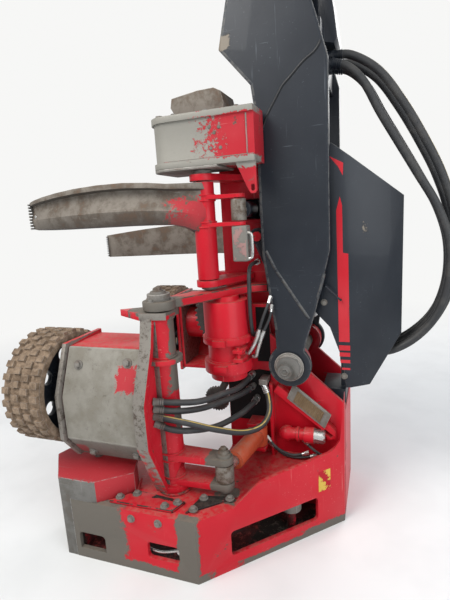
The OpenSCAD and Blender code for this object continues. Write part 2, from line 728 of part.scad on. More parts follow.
module valve_block() color(steel) {
    block([base_back_x - 120, -110, 560], [base_back_x - 4, 110, 640]);
    block([base_back_x - 30, -60, 640], [base_back_x - 4, 60, 900]);
    block([base_back_x - 30, -110, 790], [400, 110, 900]);
    block([300, -110, 900], [480, 110, 1500]);
    block([480, -40, 1250], [560 - cover_t, 40, 1290]);
    for (row = loop_table) bar_x(row[0], 840, 399, 420, row[2] + 4);
}

// Pipes and brackets by the pivot
// Turned profile of the elbow and its collars: radius, distance along X from the ball's middle
elbow_profile = [
    [0, -39], [16, -36], [30, -25], [38, -9], [38, 9], [30, 25], [30, 52], [37, 52], [37, 64], [30, 64],
    [30, 90], [40, 90], [40, 140], [0, 140]
];
module pipe_elbow() color(red) {
    translate([20, -column_half_w - 52, 440]) rotate([0, 90, 0]) rotate_extrude() polygon(elbow_profile);
    block([0, -column_half_w - 40, 424], [36, -column_half_w, 456]);
}

module pipe_bracket() color(red) {
    difference() {
        xz_plate([[-45, 655], [-20, 690], [228, 505], [262, 470], [262, 430], [225, 420], [190, 478]],
                 -column_half_w - 45, -column_half_w - 5);
        translate([225, 0, 455]) rotate([0, 38, 0]) block([-26, -260, -9], [26, -190, 9]);
    }
    block([-20, -column_half_w - 5, 600], [100, -column_half_w, 640]);
}

module hanger_pin() color(steel) {
    bar_y(pin_x, pin_z, -hanger_half_w - 30, hanger_half_w + 30, pin_r);
    both_sides() bar_y(pin_x, pin_z, hanger_half_w + 5, hanger_half_w + 15, 72);
    both_sides() bar_y(pin_x, pin_z, hanger_half_w + 15, hanger_half_w + 25, 60);
}

// Round casting beside the column
casting = [-246, -324];
module motor_casting() color(red) {
    post(casting[0], casting[1], 975, 1150, 108);
    post(casting[0], casting[1], 945, 975, 120);
    post(casting[0], casting[1], 855, 945, 96);
    post(casting[0], casting[1], 800, 855, 118);
    post(casting[0], casting[1], 760, 800, 90);
    for (z = [945, 820]) block([casting[0] - 30, casting[1] - 135, z], [casting[0] + 34, casting[1] - 60, z + 30]);
    for (z = [868, 912]) block([casting[0] + 62, casting[1] - 112, z], [casting[0] + 108, casting[1] - 20, z + 16]);
    post(casting[0] + 85, casting[1] - 92, 860, 936, 9);
    block([casting[0] - 70, casting[1], 800], [casting[0] + 70, -column_half_w, belt_z]);
}

// Hanger
hanger_outline = [
    [-15, 990], [-63, 1354], [-68, 1976], [-84, 2103], [-223, 2267], [-178, 2457], [-130, 2600],
    [130, 2600], [192, 2383], [252, 2168], [250, 1368], [183, 1093], [128, 921], [pin_x + 60, pin_z], [pin_x - 60, pin_z]
];
hanger_eye_r = 105;
tilt_a = [-96, 1440];
tilt_b = [100, 980];
tilt_pin_r = 24;
tilt_y = 203;
tilt_r = 36;

module hanger_plates() color(black) {
    difference() {
        union() {
            both_sides() {
                xz_plate(hanger_outline, hanger_inner, hanger_half_w);
                bar_y(pin_x, pin_z, hanger_inner, hanger_half_w, hanger_eye_r);
            }
        }
        bar_y(pin_x, pin_z, -hanger_half_w - 1, hanger_half_w + 1, pin_r + running);
    }
}

module hanger_box() color(black) {
    block([-60, -hanger_inner, 2130], [-40, hanger_inner, 2560]);
    block([200, -hanger_inner, 2130], [220, hanger_inner, 2330]);
    block([-40, -hanger_inner, 2130], [200, hanger_inner, 2150]);
    xz_plate([[205, 2280], [262, 2264], [276, 2286], [262, 2400], [246, 2500], [190, 2500], [170, 2400]], -120, 160);
    for (row = loop_table) bar_x(row[0], loop_route(row[0], row[1])[0][2], 219, loop_exit_x, row[2] + 4);
}

module rotator_plate() color(black) difference() {
    union() {
        block([-190, -hanger_half_w, 2600], [190, hanger_half_w, 2640]);
        post(0, 0, 2640, rotator_z, 180);
    }
    post(0, 0, 2590, rotator_z + 1, 60);
    for (turn = [0:30:330]) rotate([0, 0, turn]) post(rotator_pcd / 2, 0, 2590, rotator_z + 1, rotator_hole_r);
}

// Tilt cylinders
tilt_vec = tilt_b - tilt_a;
tilt_len = norm(tilt_vec);
tilt_turn = -atan2(tilt_vec[1], tilt_vec[0]);

module tilt_place(side) {
    translate([tilt_a[0], side * tilt_y, tilt_a[1]]) rotate([0, tilt_turn, 0]) rotate([90, 0, 0]) children();
}

module tilt_barrels() color(black) for (side = [-1, 1]) tilt_place(side)
    cylinder_barrel(tilt_len - 110, tilt_r, 26, 2 * tilt_r - 6, tilt_pin_r);

module tilt_rods() color(steel) for (side = [-1, 1]) tilt_place(side)
    cylinder_rod(80, tilt_len, 26, 34, 2 * tilt_r);

// Measuring arm and wheel
measure_x = -350;
measure_z = 640;
measure_pin_r = 10;
measuring_ear_y = [-88, -24];
measuring_plate_y = [-73, -35];
measuring_plate_t = 9;
measuring_wheel_at = [-430, 500];

module measuring_arm() color(steel) difference() {
    union() {
        for (y = measuring_plate_y) {
            xz_plate([[measure_x - 18, measure_z + 8], [measure_x + 12, measure_z - 12],
                      [measuring_wheel_at[0] + 14, measuring_wheel_at[1] - 12],
                      [measuring_wheel_at[0] - 16, measuring_wheel_at[1] + 10]], y, y + measuring_plate_t);
        }
        bar_y(measure_x, measure_z, measuring_plate_y[0], measuring_plate_y[1] + measuring_plate_t, 20);
        bar_y(measuring_wheel_at[0], measuring_wheel_at[1], measuring_plate_y[0],
              measuring_plate_y[1] + measuring_plate_t, measure_pin_r);
    }
    bar_y(measure_x, measure_z, measuring_plate_y[0] - 1, measuring_plate_y[1] + measuring_plate_t + 1,
          measure_pin_r + running);
}

module measuring_wheel() color(steel) difference() {
    tooth_disc(measuring_wheel_at[0], measuring_wheel_at[1], measuring_plate_y[0] + measuring_plate_t + 4,
               measuring_plate_y[1] - 4, 75, 7, 26);
    bar_y(measuring_wheel_at[0], measuring_wheel_at[1], -100, 0, measure_pin_r + running);
}

// Hoses swept along their routes
function spline(p, i, t) =
    let (a = p[max(i - 1, 0)], b = p[i], c = p[i + 1], d = p[min(i + 2, len(p) - 1)])
    0.5 * (2 * b + (c - a) * t + (2 * a - 5 * b + 4 * c - d) * t * t + (3 * b - a - 3 * c + d) * t * t * t);
function route_points(p, steps) = concat(
    [for (i = [0:len(p) - 2]) for (s = [0:steps - 1]) spline(p, i, s / steps)], [p[len(p) - 1]]);
function unit(v) = v / norm(v);
function tangent(q, i) = unit(q[min(i + 1, len(q) - 1)] - q[max(i - 1, 0)]);
function ring(q, i, r, up, sides, ends) =
    let (t = i == 0 ? ends[0] : i == len(q) - 1 ? ends[1] : tangent(q, i), n = unit(cross(up, t)), b = cross(t, n))
    [for (k = [0:sides - 1]) q[i] + r * (cos(k * 360 / sides) * n + sin(k * 360 / sides) * b)];

// Tube along a route; ends holds its directions at both ends, so that they seat flat
module tube(p, r, up, ends, steps = 3, sides = 8) {
    q = route_points(p, steps);
    count = len(q);
    points = [for (i = [0:count - 1]) each ring(q, i, r, up, sides, ends)];
    walls = [for (i = [0:count - 2]) for (k = [0:sides - 1]) let (n = (k + 1) % sides)
        [i * sides + k, (i + 1) * sides + k, (i + 1) * sides + n, i * sides + n]];
    caps = [[for (k = [0:sides - 1]) k], [for (k = [sides - 1:-1:0]) (count - 1) * sides + k]];
    polyhedron(points, concat(walls, caps));
}

// Columns of the loop table: y, how far towards the inner route, radius
loop_table = [[-90, 1, 19], [-40, 0, 19], [20, 0.85, 19], [80, 0.1, 19]];
loop_exit_x = 245;
loop_outer = [
    [loop_exit_x + 0.2, 2235], [330, 2226], [447, 2145], [548, 2005], [641, 1840], [719, 1675], [772, 1500], [790, 1320],
    [770, 1150], [708, 1005], [615, 905], [520, 852], [420.2, 840]
];
loop_inner = [
    [loop_exit_x + 0.2, 2190], [318, 2165], [388, 2090], [455, 1960], [535, 1820], [610, 1690], [700, 1530], [752, 1370],
    [755, 1190], [708, 1030], [622, 920], [520, 855], [420.2, 840]
];
function loop_route(y, inner) = [
    for (i = [0:len(loop_outer) - 1]) let (p = loop_outer[i] * (1 - inner) + loop_inner[i] * inner) [p[0], y, p[1]]
];
module loop_hoses() color(black) for (row = loop_table)
    tube(loop_route(row[0], row[1]), row[2], [0, 1, 0], [[1, 0, 0], [-1, 0, 0]]);

// Routes from the slot in the arm's web to the ports on the side plate
arm_hose_routes = [
    [[-469.8, -712, 700], [-330, -695, 678], [-215, -620, 620], [-130, -515, 562], [-70, -415, 548], [-48, -335, 580],
     [-62, -282, 640], [-88, -262, 699.8]],
    [[-469.8, -710, 768], [-305, -625, 745], [-220, -500, 738], [-180, -400, 728], [-165, -300, 730], [-160, -220.2, 730]],
    [[-469.8, -710, 734], [-375, -672, 716], [-295, -570, 692], [-232, -440, 678], [-185, -330, 668], [-160, -220.2, 665]],
    [[-469.8, -710, 666], [-375, -685, 630], [-250, -580, 606], [-180, -420, 595], [-145, -300, 600], [-140, -220.2, 600]]
];
arm_hose_r = 14;
arm_ports = [for (route = arm_hose_routes) route[len(route) - 1]];
module arm_hoses() color(black) {
    tube(arm_hose_routes[0], arm_hose_r, [1, -1, 0], [[1, 0, 0], [0, 0, 1]]);
    for (i = [1:3]) tube(arm_hose_routes[i], arm_hose_r, [0, 0, 1], [[1, 0, 0], [0, 1, 0]]);
}

module arm_hose_ports() color(steel) {
    block([arm_ports[0][0] - 20, arm_ports[0][1] - 20, 700], [arm_ports[0][0] + 20, -column_half_w, 730]);
    for (i = [1:3]) bar_y(arm_ports[i][0], arm_ports[i][2], -column_half_w - 20, -column_half_w, arm_hose_r + 3);
}

chassis_frame();
column_top();
cylinder_ears();
wheel_ears();
cover_carrier();
saw_box();
saw_box_nose();
deck_plates();
arm_bracket_near();
arm_bracket_far();
drive_arm_pins();
limb_brackets();
limb_pins();
top_saw_box();
top_saw_nose();
top_knife();
valve_cover();
valve_block();
pipe_elbow();
pipe_bracket();
hanger_pin();
motor_casting();
hanger_plates();
hanger_box();
rotator_plate();
tilt_barrels();
tilt_rods();
drive_arm_near();
motor_cover_near();
wheel_rim_near();
wheel_tread_near();
drive_arm_far();
motor_cover_far();
wheel_rim_far();
wheel_tread_far();
frame_wheel();
limb_arm_near();
limb_lever_near();
limb_arm_far();
limb_lever_far();
arm_barrel_near();
arm_rod_near();
arm_barrel_far();
arm_rod_far();
limb_barrel_near();
limb_rod_near();
limb_barrel_far();
limb_rod_far();
main_bar();
top_bar();
measuring_arm();
measuring_wheel();
arm_hose_ports();
loop_hoses();
arm_hoses();
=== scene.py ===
"""Looks of the harvester head: worn paint, bare steel, mud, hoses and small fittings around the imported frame."""

from __future__ import annotations

import json
import logging
import math
from dataclasses import dataclass
from enum import Enum
from typing import Callable, Sequence, Union

import bmesh
import bpy
from mathutils import Matrix, Vector, noise

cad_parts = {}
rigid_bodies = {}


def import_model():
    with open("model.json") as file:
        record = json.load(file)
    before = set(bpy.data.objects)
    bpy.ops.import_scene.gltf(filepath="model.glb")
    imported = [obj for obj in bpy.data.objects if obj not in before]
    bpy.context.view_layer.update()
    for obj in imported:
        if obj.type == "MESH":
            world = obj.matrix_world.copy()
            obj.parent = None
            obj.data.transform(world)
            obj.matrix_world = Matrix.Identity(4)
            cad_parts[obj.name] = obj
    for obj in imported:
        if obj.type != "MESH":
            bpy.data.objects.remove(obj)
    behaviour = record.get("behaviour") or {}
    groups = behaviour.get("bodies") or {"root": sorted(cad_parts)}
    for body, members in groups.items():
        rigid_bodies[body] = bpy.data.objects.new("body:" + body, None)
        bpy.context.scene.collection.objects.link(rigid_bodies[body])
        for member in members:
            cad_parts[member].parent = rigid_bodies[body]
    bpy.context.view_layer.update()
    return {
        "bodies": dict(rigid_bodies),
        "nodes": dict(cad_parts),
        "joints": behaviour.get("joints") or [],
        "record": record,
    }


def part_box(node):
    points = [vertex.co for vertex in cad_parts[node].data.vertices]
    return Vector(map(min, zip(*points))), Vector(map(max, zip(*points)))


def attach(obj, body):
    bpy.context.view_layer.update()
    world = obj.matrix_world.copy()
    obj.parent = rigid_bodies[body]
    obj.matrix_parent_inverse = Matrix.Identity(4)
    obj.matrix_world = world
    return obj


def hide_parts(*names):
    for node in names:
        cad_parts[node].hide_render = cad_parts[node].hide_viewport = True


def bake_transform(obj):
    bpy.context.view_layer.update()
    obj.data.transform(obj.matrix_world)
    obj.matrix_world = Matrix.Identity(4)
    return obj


LOG = logging.getLogger("harvester_head")
Colour = tuple[float, float, float]
Place = Union[tuple[float, float, float], Vector]
Zone = tuple[tuple[float, float, float], tuple[float, float, float]]
Outline = tuple[tuple[float, float], ...]
Route = tuple[Place, ...]
Number = Union[float, "Expr"]
Mesh = bmesh.types.BMesh
Finish = bpy.types.Material
NEAR, FAR = -1, 1
LABELS = {NEAR: "near", FAR: "far"}
UP, DOWN = (0, 0, 1), (0, 0, -1)


class Face(Enum):
    """Names of the float attributes that the meshes carry for their materials."""

    EDGE = "edge"
    BARE = "bare"
    PAINTED = "painted"
    INSIDE = "inside"
    STRIPE = "stripe"


# Shader expressions


class Expr:
    """Wraps a value socket, so that shader maths reads as Python maths."""

    def __init__(self, shade: "Shade", socket: bpy.types.NodeSocket) -> None:
        """Keeps the socket and the material that it belongs to."""
        self.shade = shade
        self.socket = socket

    def _math(self, operation: str, first: Number, second: Number) -> "Expr":
        """Adds one Math node.

        Args:
            operation: The Math node's operation.
            first: The upper input.
            second: The lower input.

        Returns:
            The node's result.
        """
        made = self.shade.node("ShaderNodeMath", {"operation": operation}, {0: first, 1: second})
        return Expr(self.shade, made.outputs[0])

    def __add__(self, other: Number) -> "Expr":
        """Returns self + other."""
        return self._math("ADD", self, other)

    def __radd__(self, other: Number) -> "Expr":
        """Returns other + self."""
        return self._math("ADD", other, self)

    def __sub__(self, other: Number) -> "Expr":
        """Returns self - other."""
        return self._math("SUBTRACT", self, other)

    def __rsub__(self, other: Number) -> "Expr":
        """Returns other - self."""
        return self._math("SUBTRACT", other, self)

    def __mul__(self, other: Number) -> "Expr":
        """Returns self * other."""
        return self._math("MULTIPLY", self, other)

    def __rmul__(self, other: Number) -> "Expr":
        """Returns other * self."""
        return self._math("MULTIPLY", other, self)

    def maximum(self, other: Number) -> "Expr":
        """Returns the larger of the two."""
        return self._math("MAXIMUM", self, other)

    def band(self, low: float, high: float) -> "Expr":
        """Maps low..high smoothly onto 0..1.

        Args:
            low: The value that becomes 0; it may be above high, which turns the step round.
            high: The value that becomes 1.

        Returns:
            The smooth step.
        """
        turned = low > high
        made = self.shade.node(
            "ShaderNodeMapRange",
            {"interpolation_type": "SMOOTHSTEP"},
            {"Value": self, "From Min": min(low, high), "From Max": max(low, high),
             "To Min": 1.0 if turned else 0.0, "To Max": 0.0 if turned else 1.0},
        )
        return Expr(self.shade, made.outputs[0])


class Shade:
    """One procedural material, built node by node on Object coordinates."""

    def __init__(self, name: str) -> None:
        """Starts an empty material with a Principled shader."""
        self.material = bpy.data.materials.new(name)
        self.material.use_nodes = True
        self.tree = self.material.node_tree
        self.tree.nodes.clear()
        self.output = self.tree.nodes.new("ShaderNodeOutputMaterial")
        self.shader = self.tree.nodes.new("ShaderNodeBsdfPrincipled")
        self.tree.links.new(self.shader.outputs[0], self.output.inputs[0])
        self.place = self.tree.nodes.new("ShaderNodeTexCoord").outputs["Object"]
        self.bent: bpy.types.NodeSocket | None = None

    def node(self, kind: str, settings: dict, inputs: dict) -> bpy.types.Node:
        """Adds a node.

        Args:
            kind: The node's type.
            settings: Attributes, which are set before the sockets.
            inputs: Values or links by socket name or number.

        Returns:
            The new node.
        """
        made = self.tree.nodes.new(kind)
        for key, value in settings.items():
            setattr(made, key, value)
        for key, value in inputs.items():
            self.feed(made.inputs[key], value)
        return made

    def feed(self, socket: bpy.types.NodeSocket, value: object) -> None:
        """Links or sets one socket."""
        if isinstance(value, Expr):
            self.tree.links.new(value.socket, socket)
        elif isinstance(value, bpy.types.NodeSocket):
            self.tree.links.new(value, socket)
        elif isinstance(value, tuple) and len(value) == 3 and socket.type == "RGBA":
            socket.default_value = (*value, 1.0)
        else:
            socket.default_value = value

    def stretched(self, scale: Sequence[float], turn: Sequence[float] = (0, 0, 0)) -> bpy.types.NodeSocket:
        """Returns Object coordinates scaled and turned by a Mapping node."""
        made = self.node("ShaderNodeMapping", {}, {"Vector": self.place, "Scale": scale, "Rotation": turn})
        return made.outputs[0]

    def noise(self, size: float, detail: float = 4.0, rough: float = 0.55, where: object = None) -> Expr:
        """Noise whose blotches are about size metres across.

        Args:
            size: Size of a blotch in metres.
            detail: Octaves.
            rough: How strong the finer octaves are.
            where: Other coordinates than the Object ones.

        Returns:
            The noise's value, about 0.5 on average.
        """
        made = self.node("ShaderNodeTexNoise", {}, {
            "Vector": where or self.place, "Scale": 1.0 / size, "Detail": detail, "Roughness": rough})
        return Expr(self, made.outputs[0])

    def scratches(self, size: float, along: int, turn: Sequence[float] = (0, 0, 0)) -> Expr:
        """Thin streaks along an axis.

        Args:
            size: Spacing of the streaks in metres.
            along: The axis that they run along, 0 to 2.
            turn: Turn of the coordinates, in radians.

        Returns:
            1 in a streak and 0 beside it.
        """
        scale = [1.0, 1.0, 1.0]
        scale[along] = 0.04
        return self.noise(size, 3.0, 0.6, self.stretched(scale, turn)).band(0.66, 0.73)

    def attribute(self, name: Face) -> Expr:
        """Returns a float attribute of the mesh."""
        made = self.node("ShaderNodeAttribute", {"attribute_name": name.value}, {})
        return Expr(self, made.outputs["Fac"])

    def near(self, zones: Sequence[Zone], ragged: Expr) -> Expr:
        """Marks ragged patches round places.

        Args:
            zones: Middle and half sizes of each patch in metres.
            ragged: Noise, about 0.5 on average, that breaks up the patches' rims.

        Returns:
            1 inside a patch and 0 outside.
        """
        found = ragged * 0.0
        for middle, half in zones:
            away = self.node("ShaderNodeVectorMath", {"operation": "SUBTRACT"}, {0: self.place, 1: middle})
            shares = self.node("ShaderNodeVectorMath", {"operation": "DIVIDE"}, {0: away.outputs["Vector"], 1: half})
            size = self.node("ShaderNodeVectorMath", {"operation": "ABSOLUTE"}, {0: shares.outputs["Vector"]})
            parts = self.node("ShaderNodeSeparateXYZ", {}, {0: size.outputs["Vector"]})
            x, y, z = (Expr(self, parts.outputs[k]) for k in ("X", "Y", "Z"))
            found = found.maximum((x.maximum(y).maximum(z) + ragged).band(1.56, 1.44))
        return found

    def upward(self) -> Expr:
        """Returns how far the surface faces up, from -1 to 1."""
        geometry = self.node("ShaderNodeNewGeometry", {}, {})
        split = self.node("ShaderNodeSeparateXYZ", {}, {0: geometry.outputs["Normal"]})
        return Expr(self, split.outputs[2])

    def mix(self, low: object, high: object, factor: Number) -> bpy.types.NodeSocket:
        """Mixes two colours.

        Args:
            low: Colour at factor 0.
            high: Colour at factor 1.
            factor: The mix.

        Returns:
            The mixed colour's socket.
        """
        return self.node("ShaderNodeMix", {"data_type": "RGBA"}, {0: factor, 6: low, 7: high}).outputs[2]

    def bump(self, height: Number, depth: float, strength: float = 1.0) -> None:
        """Adds one bump on top of the earlier ones.

        Args:
            height: The relief, 0 to 1.
            depth: Metres between 0 and 1.
            strength: Share of the effect.
        """
        inputs = {"Height": height, "Distance": depth, "Strength": strength}
        if self.bent:
            inputs["Normal"] = self.bent
        self.bent = self.node("ShaderNodeBump", {}, inputs).outputs[0]

    def finish(self, colour: object, rough: Number, metal: Number = 0.0, coat: Number = 0.0) -> Finish:
        """Feeds the shader.

        Args:
            colour: Base colour.
            rough: Roughness.
            metal: Metallic share.
            coat: Weight of the clear coat.

        Returns:
            The finished material.
        """
        fed = {"Base Color": colour, "Roughness": rough, "Metallic": metal, "Coat Weight": coat}
        for name, value in fed.items():
            self.feed(self.shader.inputs[name], value)
        if self.bent:
            self.feed(self.shader.inputs["Normal"], self.bent)
        return self.material


# Finishes


@dataclass(frozen=True)
class Paint:
    """Machine paint with dust, chips along the edges, scratches and bare zones."""

    name: str
    colour: Colour
    faded: Colour
    scuff: Colour = (0.60, 0.17, 0.16)
    chip: Colour = (0.085, 0.065, 0.052)
    bare_steel: Colour = (0.150, 0.135, 0.115)
    rubbed_steel: Colour = (0.235, 0.215, 0.190)
    dust: Colour = (0.30, 0.235, 0.175)
    grime: Colour = (0.020, 0.015, 0.013)
    chip_level: float = 0.62
    dust_share: float = 0.5
    rough: float = 0.34
    gloss: float = 0.22
    coat: float = 0.06
    mottle: float = 1.0
    bare_zones: tuple[Zone, ...] = ()

    def build(self) -> Finish:
        """Returns the finished material."""
        s = Shade(self.name)
        s.shader.inputs["Specular IOR Level"].default_value = self.gloss
        cloud = s.noise(0.35, 3.0)
        fine = s.noise(0.012, 4.0, 0.6)
        patches = s.noise(0.09, 6.0, 0.68)
        specks = s.noise(0.028, 9.0, 0.80)
        edge = s.attribute(Face.EDGE)
        streaks = s.scratches(0.009, 0, (0.2, 0.5, 0.3)).maximum(s.scratches(0.012, 2, (0.1, 0.0, 0.4)))
        streaks = streaks.maximum(s.scratches(0.010, 1, (0.3, 0.2, 0.9)))
        chips = (patches + edge * 0.2 + specks * 0.35).band(self.chip_level + 0.22, self.chip_level + 0.25)
        worn_edge = (edge * 0.55 + patches * 0.3 + specks * 0.6).band(0.93, 1.03)
        zone = s.near(self.bare_zones, (patches - 0.5) * 0.9 + (specks - 0.5) * self.mottle + 0.5)
        rubbed = (s.attribute(Face.BARE) + (patches + specks * 0.8) * 0.5).band(1.16, 1.26)
        bare = chips.maximum(worn_edge).maximum(zone).maximum(rubbed)
        grime = s.upward().band(0.35, 0.9) * 0.65 + patches.band(0.5, 0.72) * 0.12
        dusty = (grime * specks.band(0.40, 0.60)) * self.dust_share
        steel = s.mix(self.chip, self.bare_steel, (specks * 0.7 + zone * 0.35).band(0.30, 0.68))
        steel = s.mix(steel, self.rubbed_steel, rubbed * specks.band(0.36, 0.52))
        colour = s.mix(self.colour, self.faded, cloud.band(0.35, 0.7))
        scuffed = streaks * cloud.band(0.46, 0.60) * 0.7
        scuffed = scuffed.maximum(edge.band(0.3, 0.9) * specks.band(0.42, 0.56) * 0.55)
        colour = s.mix(colour, self.scuff, scuffed)
        colour = s.mix(colour, steel, bare)
        colour = s.mix(colour, self.dust, dusty)
        colour = s.mix(colour, self.grime, s.attribute(Face.INSIDE) * specks.band(0.66, 0.50) * 0.9)
        rough = self.rough + dusty * 0.4 + bare * 0.24 + fine * 0.08
        s.bump(1 - bare * 0.8 + fine * 0.15, 0.0009)
        s.bump(cloud, 0.004, 0.5)
        return s.finish(colour, rough, bare * 0.45, self.coat)


@dataclass(frozen=True)
class WornSteel:
    """Bare steel, scuffed bright on its edges, brown where rust holds, with what paint is left, and painted shade on
    the faces that look down.
    """

    name: str
    colour: Colour = (0.165, 0.152, 0.135)
    bright: Colour = (0.36, 0.34, 0.31)
    rust: Colour = (0.125, 0.072, 0.042)
    dark: Colour = (0.055, 0.047, 0.040)
    paint: Colour = (0.40, 0.018, 0.026)
    rust_share: float = 0.6
    bright_share: float = 0.35
    speck_share: float = 0.4
    # Share of painted shade on the faces that look down.
    underside_shade: float = 0.0
    metal: float = 0.4
    paint_zones: tuple[Zone, ...] = ()

    def build(self) -> Finish:
        """Returns the finished material."""
        s = Shade(self.name)
        cloud = s.noise(0.11, 6.0, 0.66)
        fine = s.noise(0.008, 5.0, 0.65)
        specks = s.noise(0.026, 9.0, 0.80)
        edge = s.attribute(Face.EDGE)
        bare = s.attribute(Face.BARE)
        rusty = (cloud * 0.7 + specks * 0.5).band(0.60, 0.76) * self.rust_share
        streaks = s.scratches(0.010, 0, (0.3, 0.4, 0.2)).maximum(s.scratches(0.013, 2, (0.0, 0.3, 0.1)))
        shine = (edge * specks.band(0.38, 0.55) * 0.85).maximum(streaks * 0.4).maximum(bare * cloud.band(0.35, 0.6))
        left = s.near(self.paint_zones, (cloud - 0.5) * 0.9 + (specks - 0.5) * 2.6 + 0.5)
        kept = (s.attribute(Face.PAINTED) + (cloud - 0.5) + (specks - 0.5) * 1.6).band(0.52, 0.62)
        left = left.maximum(kept) * (1 - shine * 0.7)
        colour = s.mix(self.colour, self.bright, cloud.band(0.62, 0.38) * self.bright_share)
        colour = s.mix(colour, self.rust, rusty)
        colour = s.mix(colour, self.dark, specks.band(0.56, 0.68) * self.speck_share)
        colour = s.mix(colour, self.bright, shine * (1 - rusty * 0.7))
        colour = s.mix(colour, self.paint, left)
        # Painted shade: the faces that look down are darkened.
        colour = s.mix(colour, self.dark, s.upward().band(-0.1, -0.7) * self.underside_shade)
        rough = 0.62 - shine * 0.24 + fine * 0.2
        s.bump(fine * 0.5 + cloud * 0.8, 0.0014)
        return s.finish(colour, rough, (self.metal - rusty * 0.3) * (1 - left))


@dataclass(frozen=True)
class Mud:
    """Steel caked with dry brown mud."""

    name: str
    wet: Colour = (0.115, 0.075, 0.045)
    dry: Colour = (0.30, 0.215, 0.145)
    steel: Colour = (0.22, 0.195, 0.17)

    def build(self) -> Finish:
        """Returns the finished material."""
        s = Shade(self.name)
        lumps = s.noise(0.035, 7.0, 0.7)
        crumbs = s.noise(0.006, 4.0, 0.7)
        edge = s.attribute(Face.EDGE)
        colour = s.mix(self.wet, self.dry, (lumps + crumbs * 0.3).band(0.45, 0.85))
        colour = s.mix(colour, self.steel, (edge * 0.6 + crumbs * 0.5).band(0.72, 0.9))
        s.bump(lumps, 0.006)
        s.bump(crumbs, 0.002)
        return s.finish(colour, 0.86 - edge * 0.2)


@dataclass(frozen=True)
class Hose:
    """Rubber hose with dust, rubbed streaks and a printed line on some."""

    name: str
    colour: Colour = (0.022, 0.023, 0.025)
    dust: Colour = (0.14, 0.13, 0.115)
    line: Colour = (0.62, 0.45, 0.12)

    def build(self) -> Finish:
        """Returns the finished material."""
        s = Shade(self.name)
        cloud = s.noise(0.07, 5.0, 0.6)
        fine = s.noise(0.004, 3.0, 0.6)
        s.shader.inputs["Specular IOR Level"].default_value = 0.4
        dusty = (s.upward().band(0.0, 0.95) * 0.45 + cloud.band(0.45, 0.7) * 0.4) * 0.45
        colour = s.mix(self.colour, self.line, s.attribute(Face.STRIPE).band(0.4, 0.6) * cloud.band(0.72, 0.45))
        colour = s.mix(colour, self.dust, dusty)
        s.bump(fine, 0.0008)
        return s.finish(colour, 0.5 + dusty * 0.35)


@dataclass(frozen=True)
class Chrome:
    """Bright plated steel with a little dust."""

    name: str
    colour: Colour = (0.62, 0.62, 0.63)
    dull: Colour = (0.30, 0.27, 0.23)
    worn_pale: Colour = (0.20, 0.18, 0.155)
    worn_dark: Colour = (0.10, 0.07, 0.05)

    def build(self) -> Finish:
        """Returns the finished material."""
        s = Shade(self.name)
        cloud = s.noise(0.05, 6.0, 0.65)
        worn = s.attribute(Face.BARE)
        colour = s.mix(self.colour, self.dull, cloud.band(0.45, 0.7) * 0.7)
        colour = s.mix(colour, s.mix(self.worn_pale, self.worn_dark, cloud.band(0.42, 0.6)), worn)
        return s.finish(colour, 0.22 + cloud.band(0.4, 0.7) * 0.3 + worn * 0.3, 0.9 - worn * 0.45)


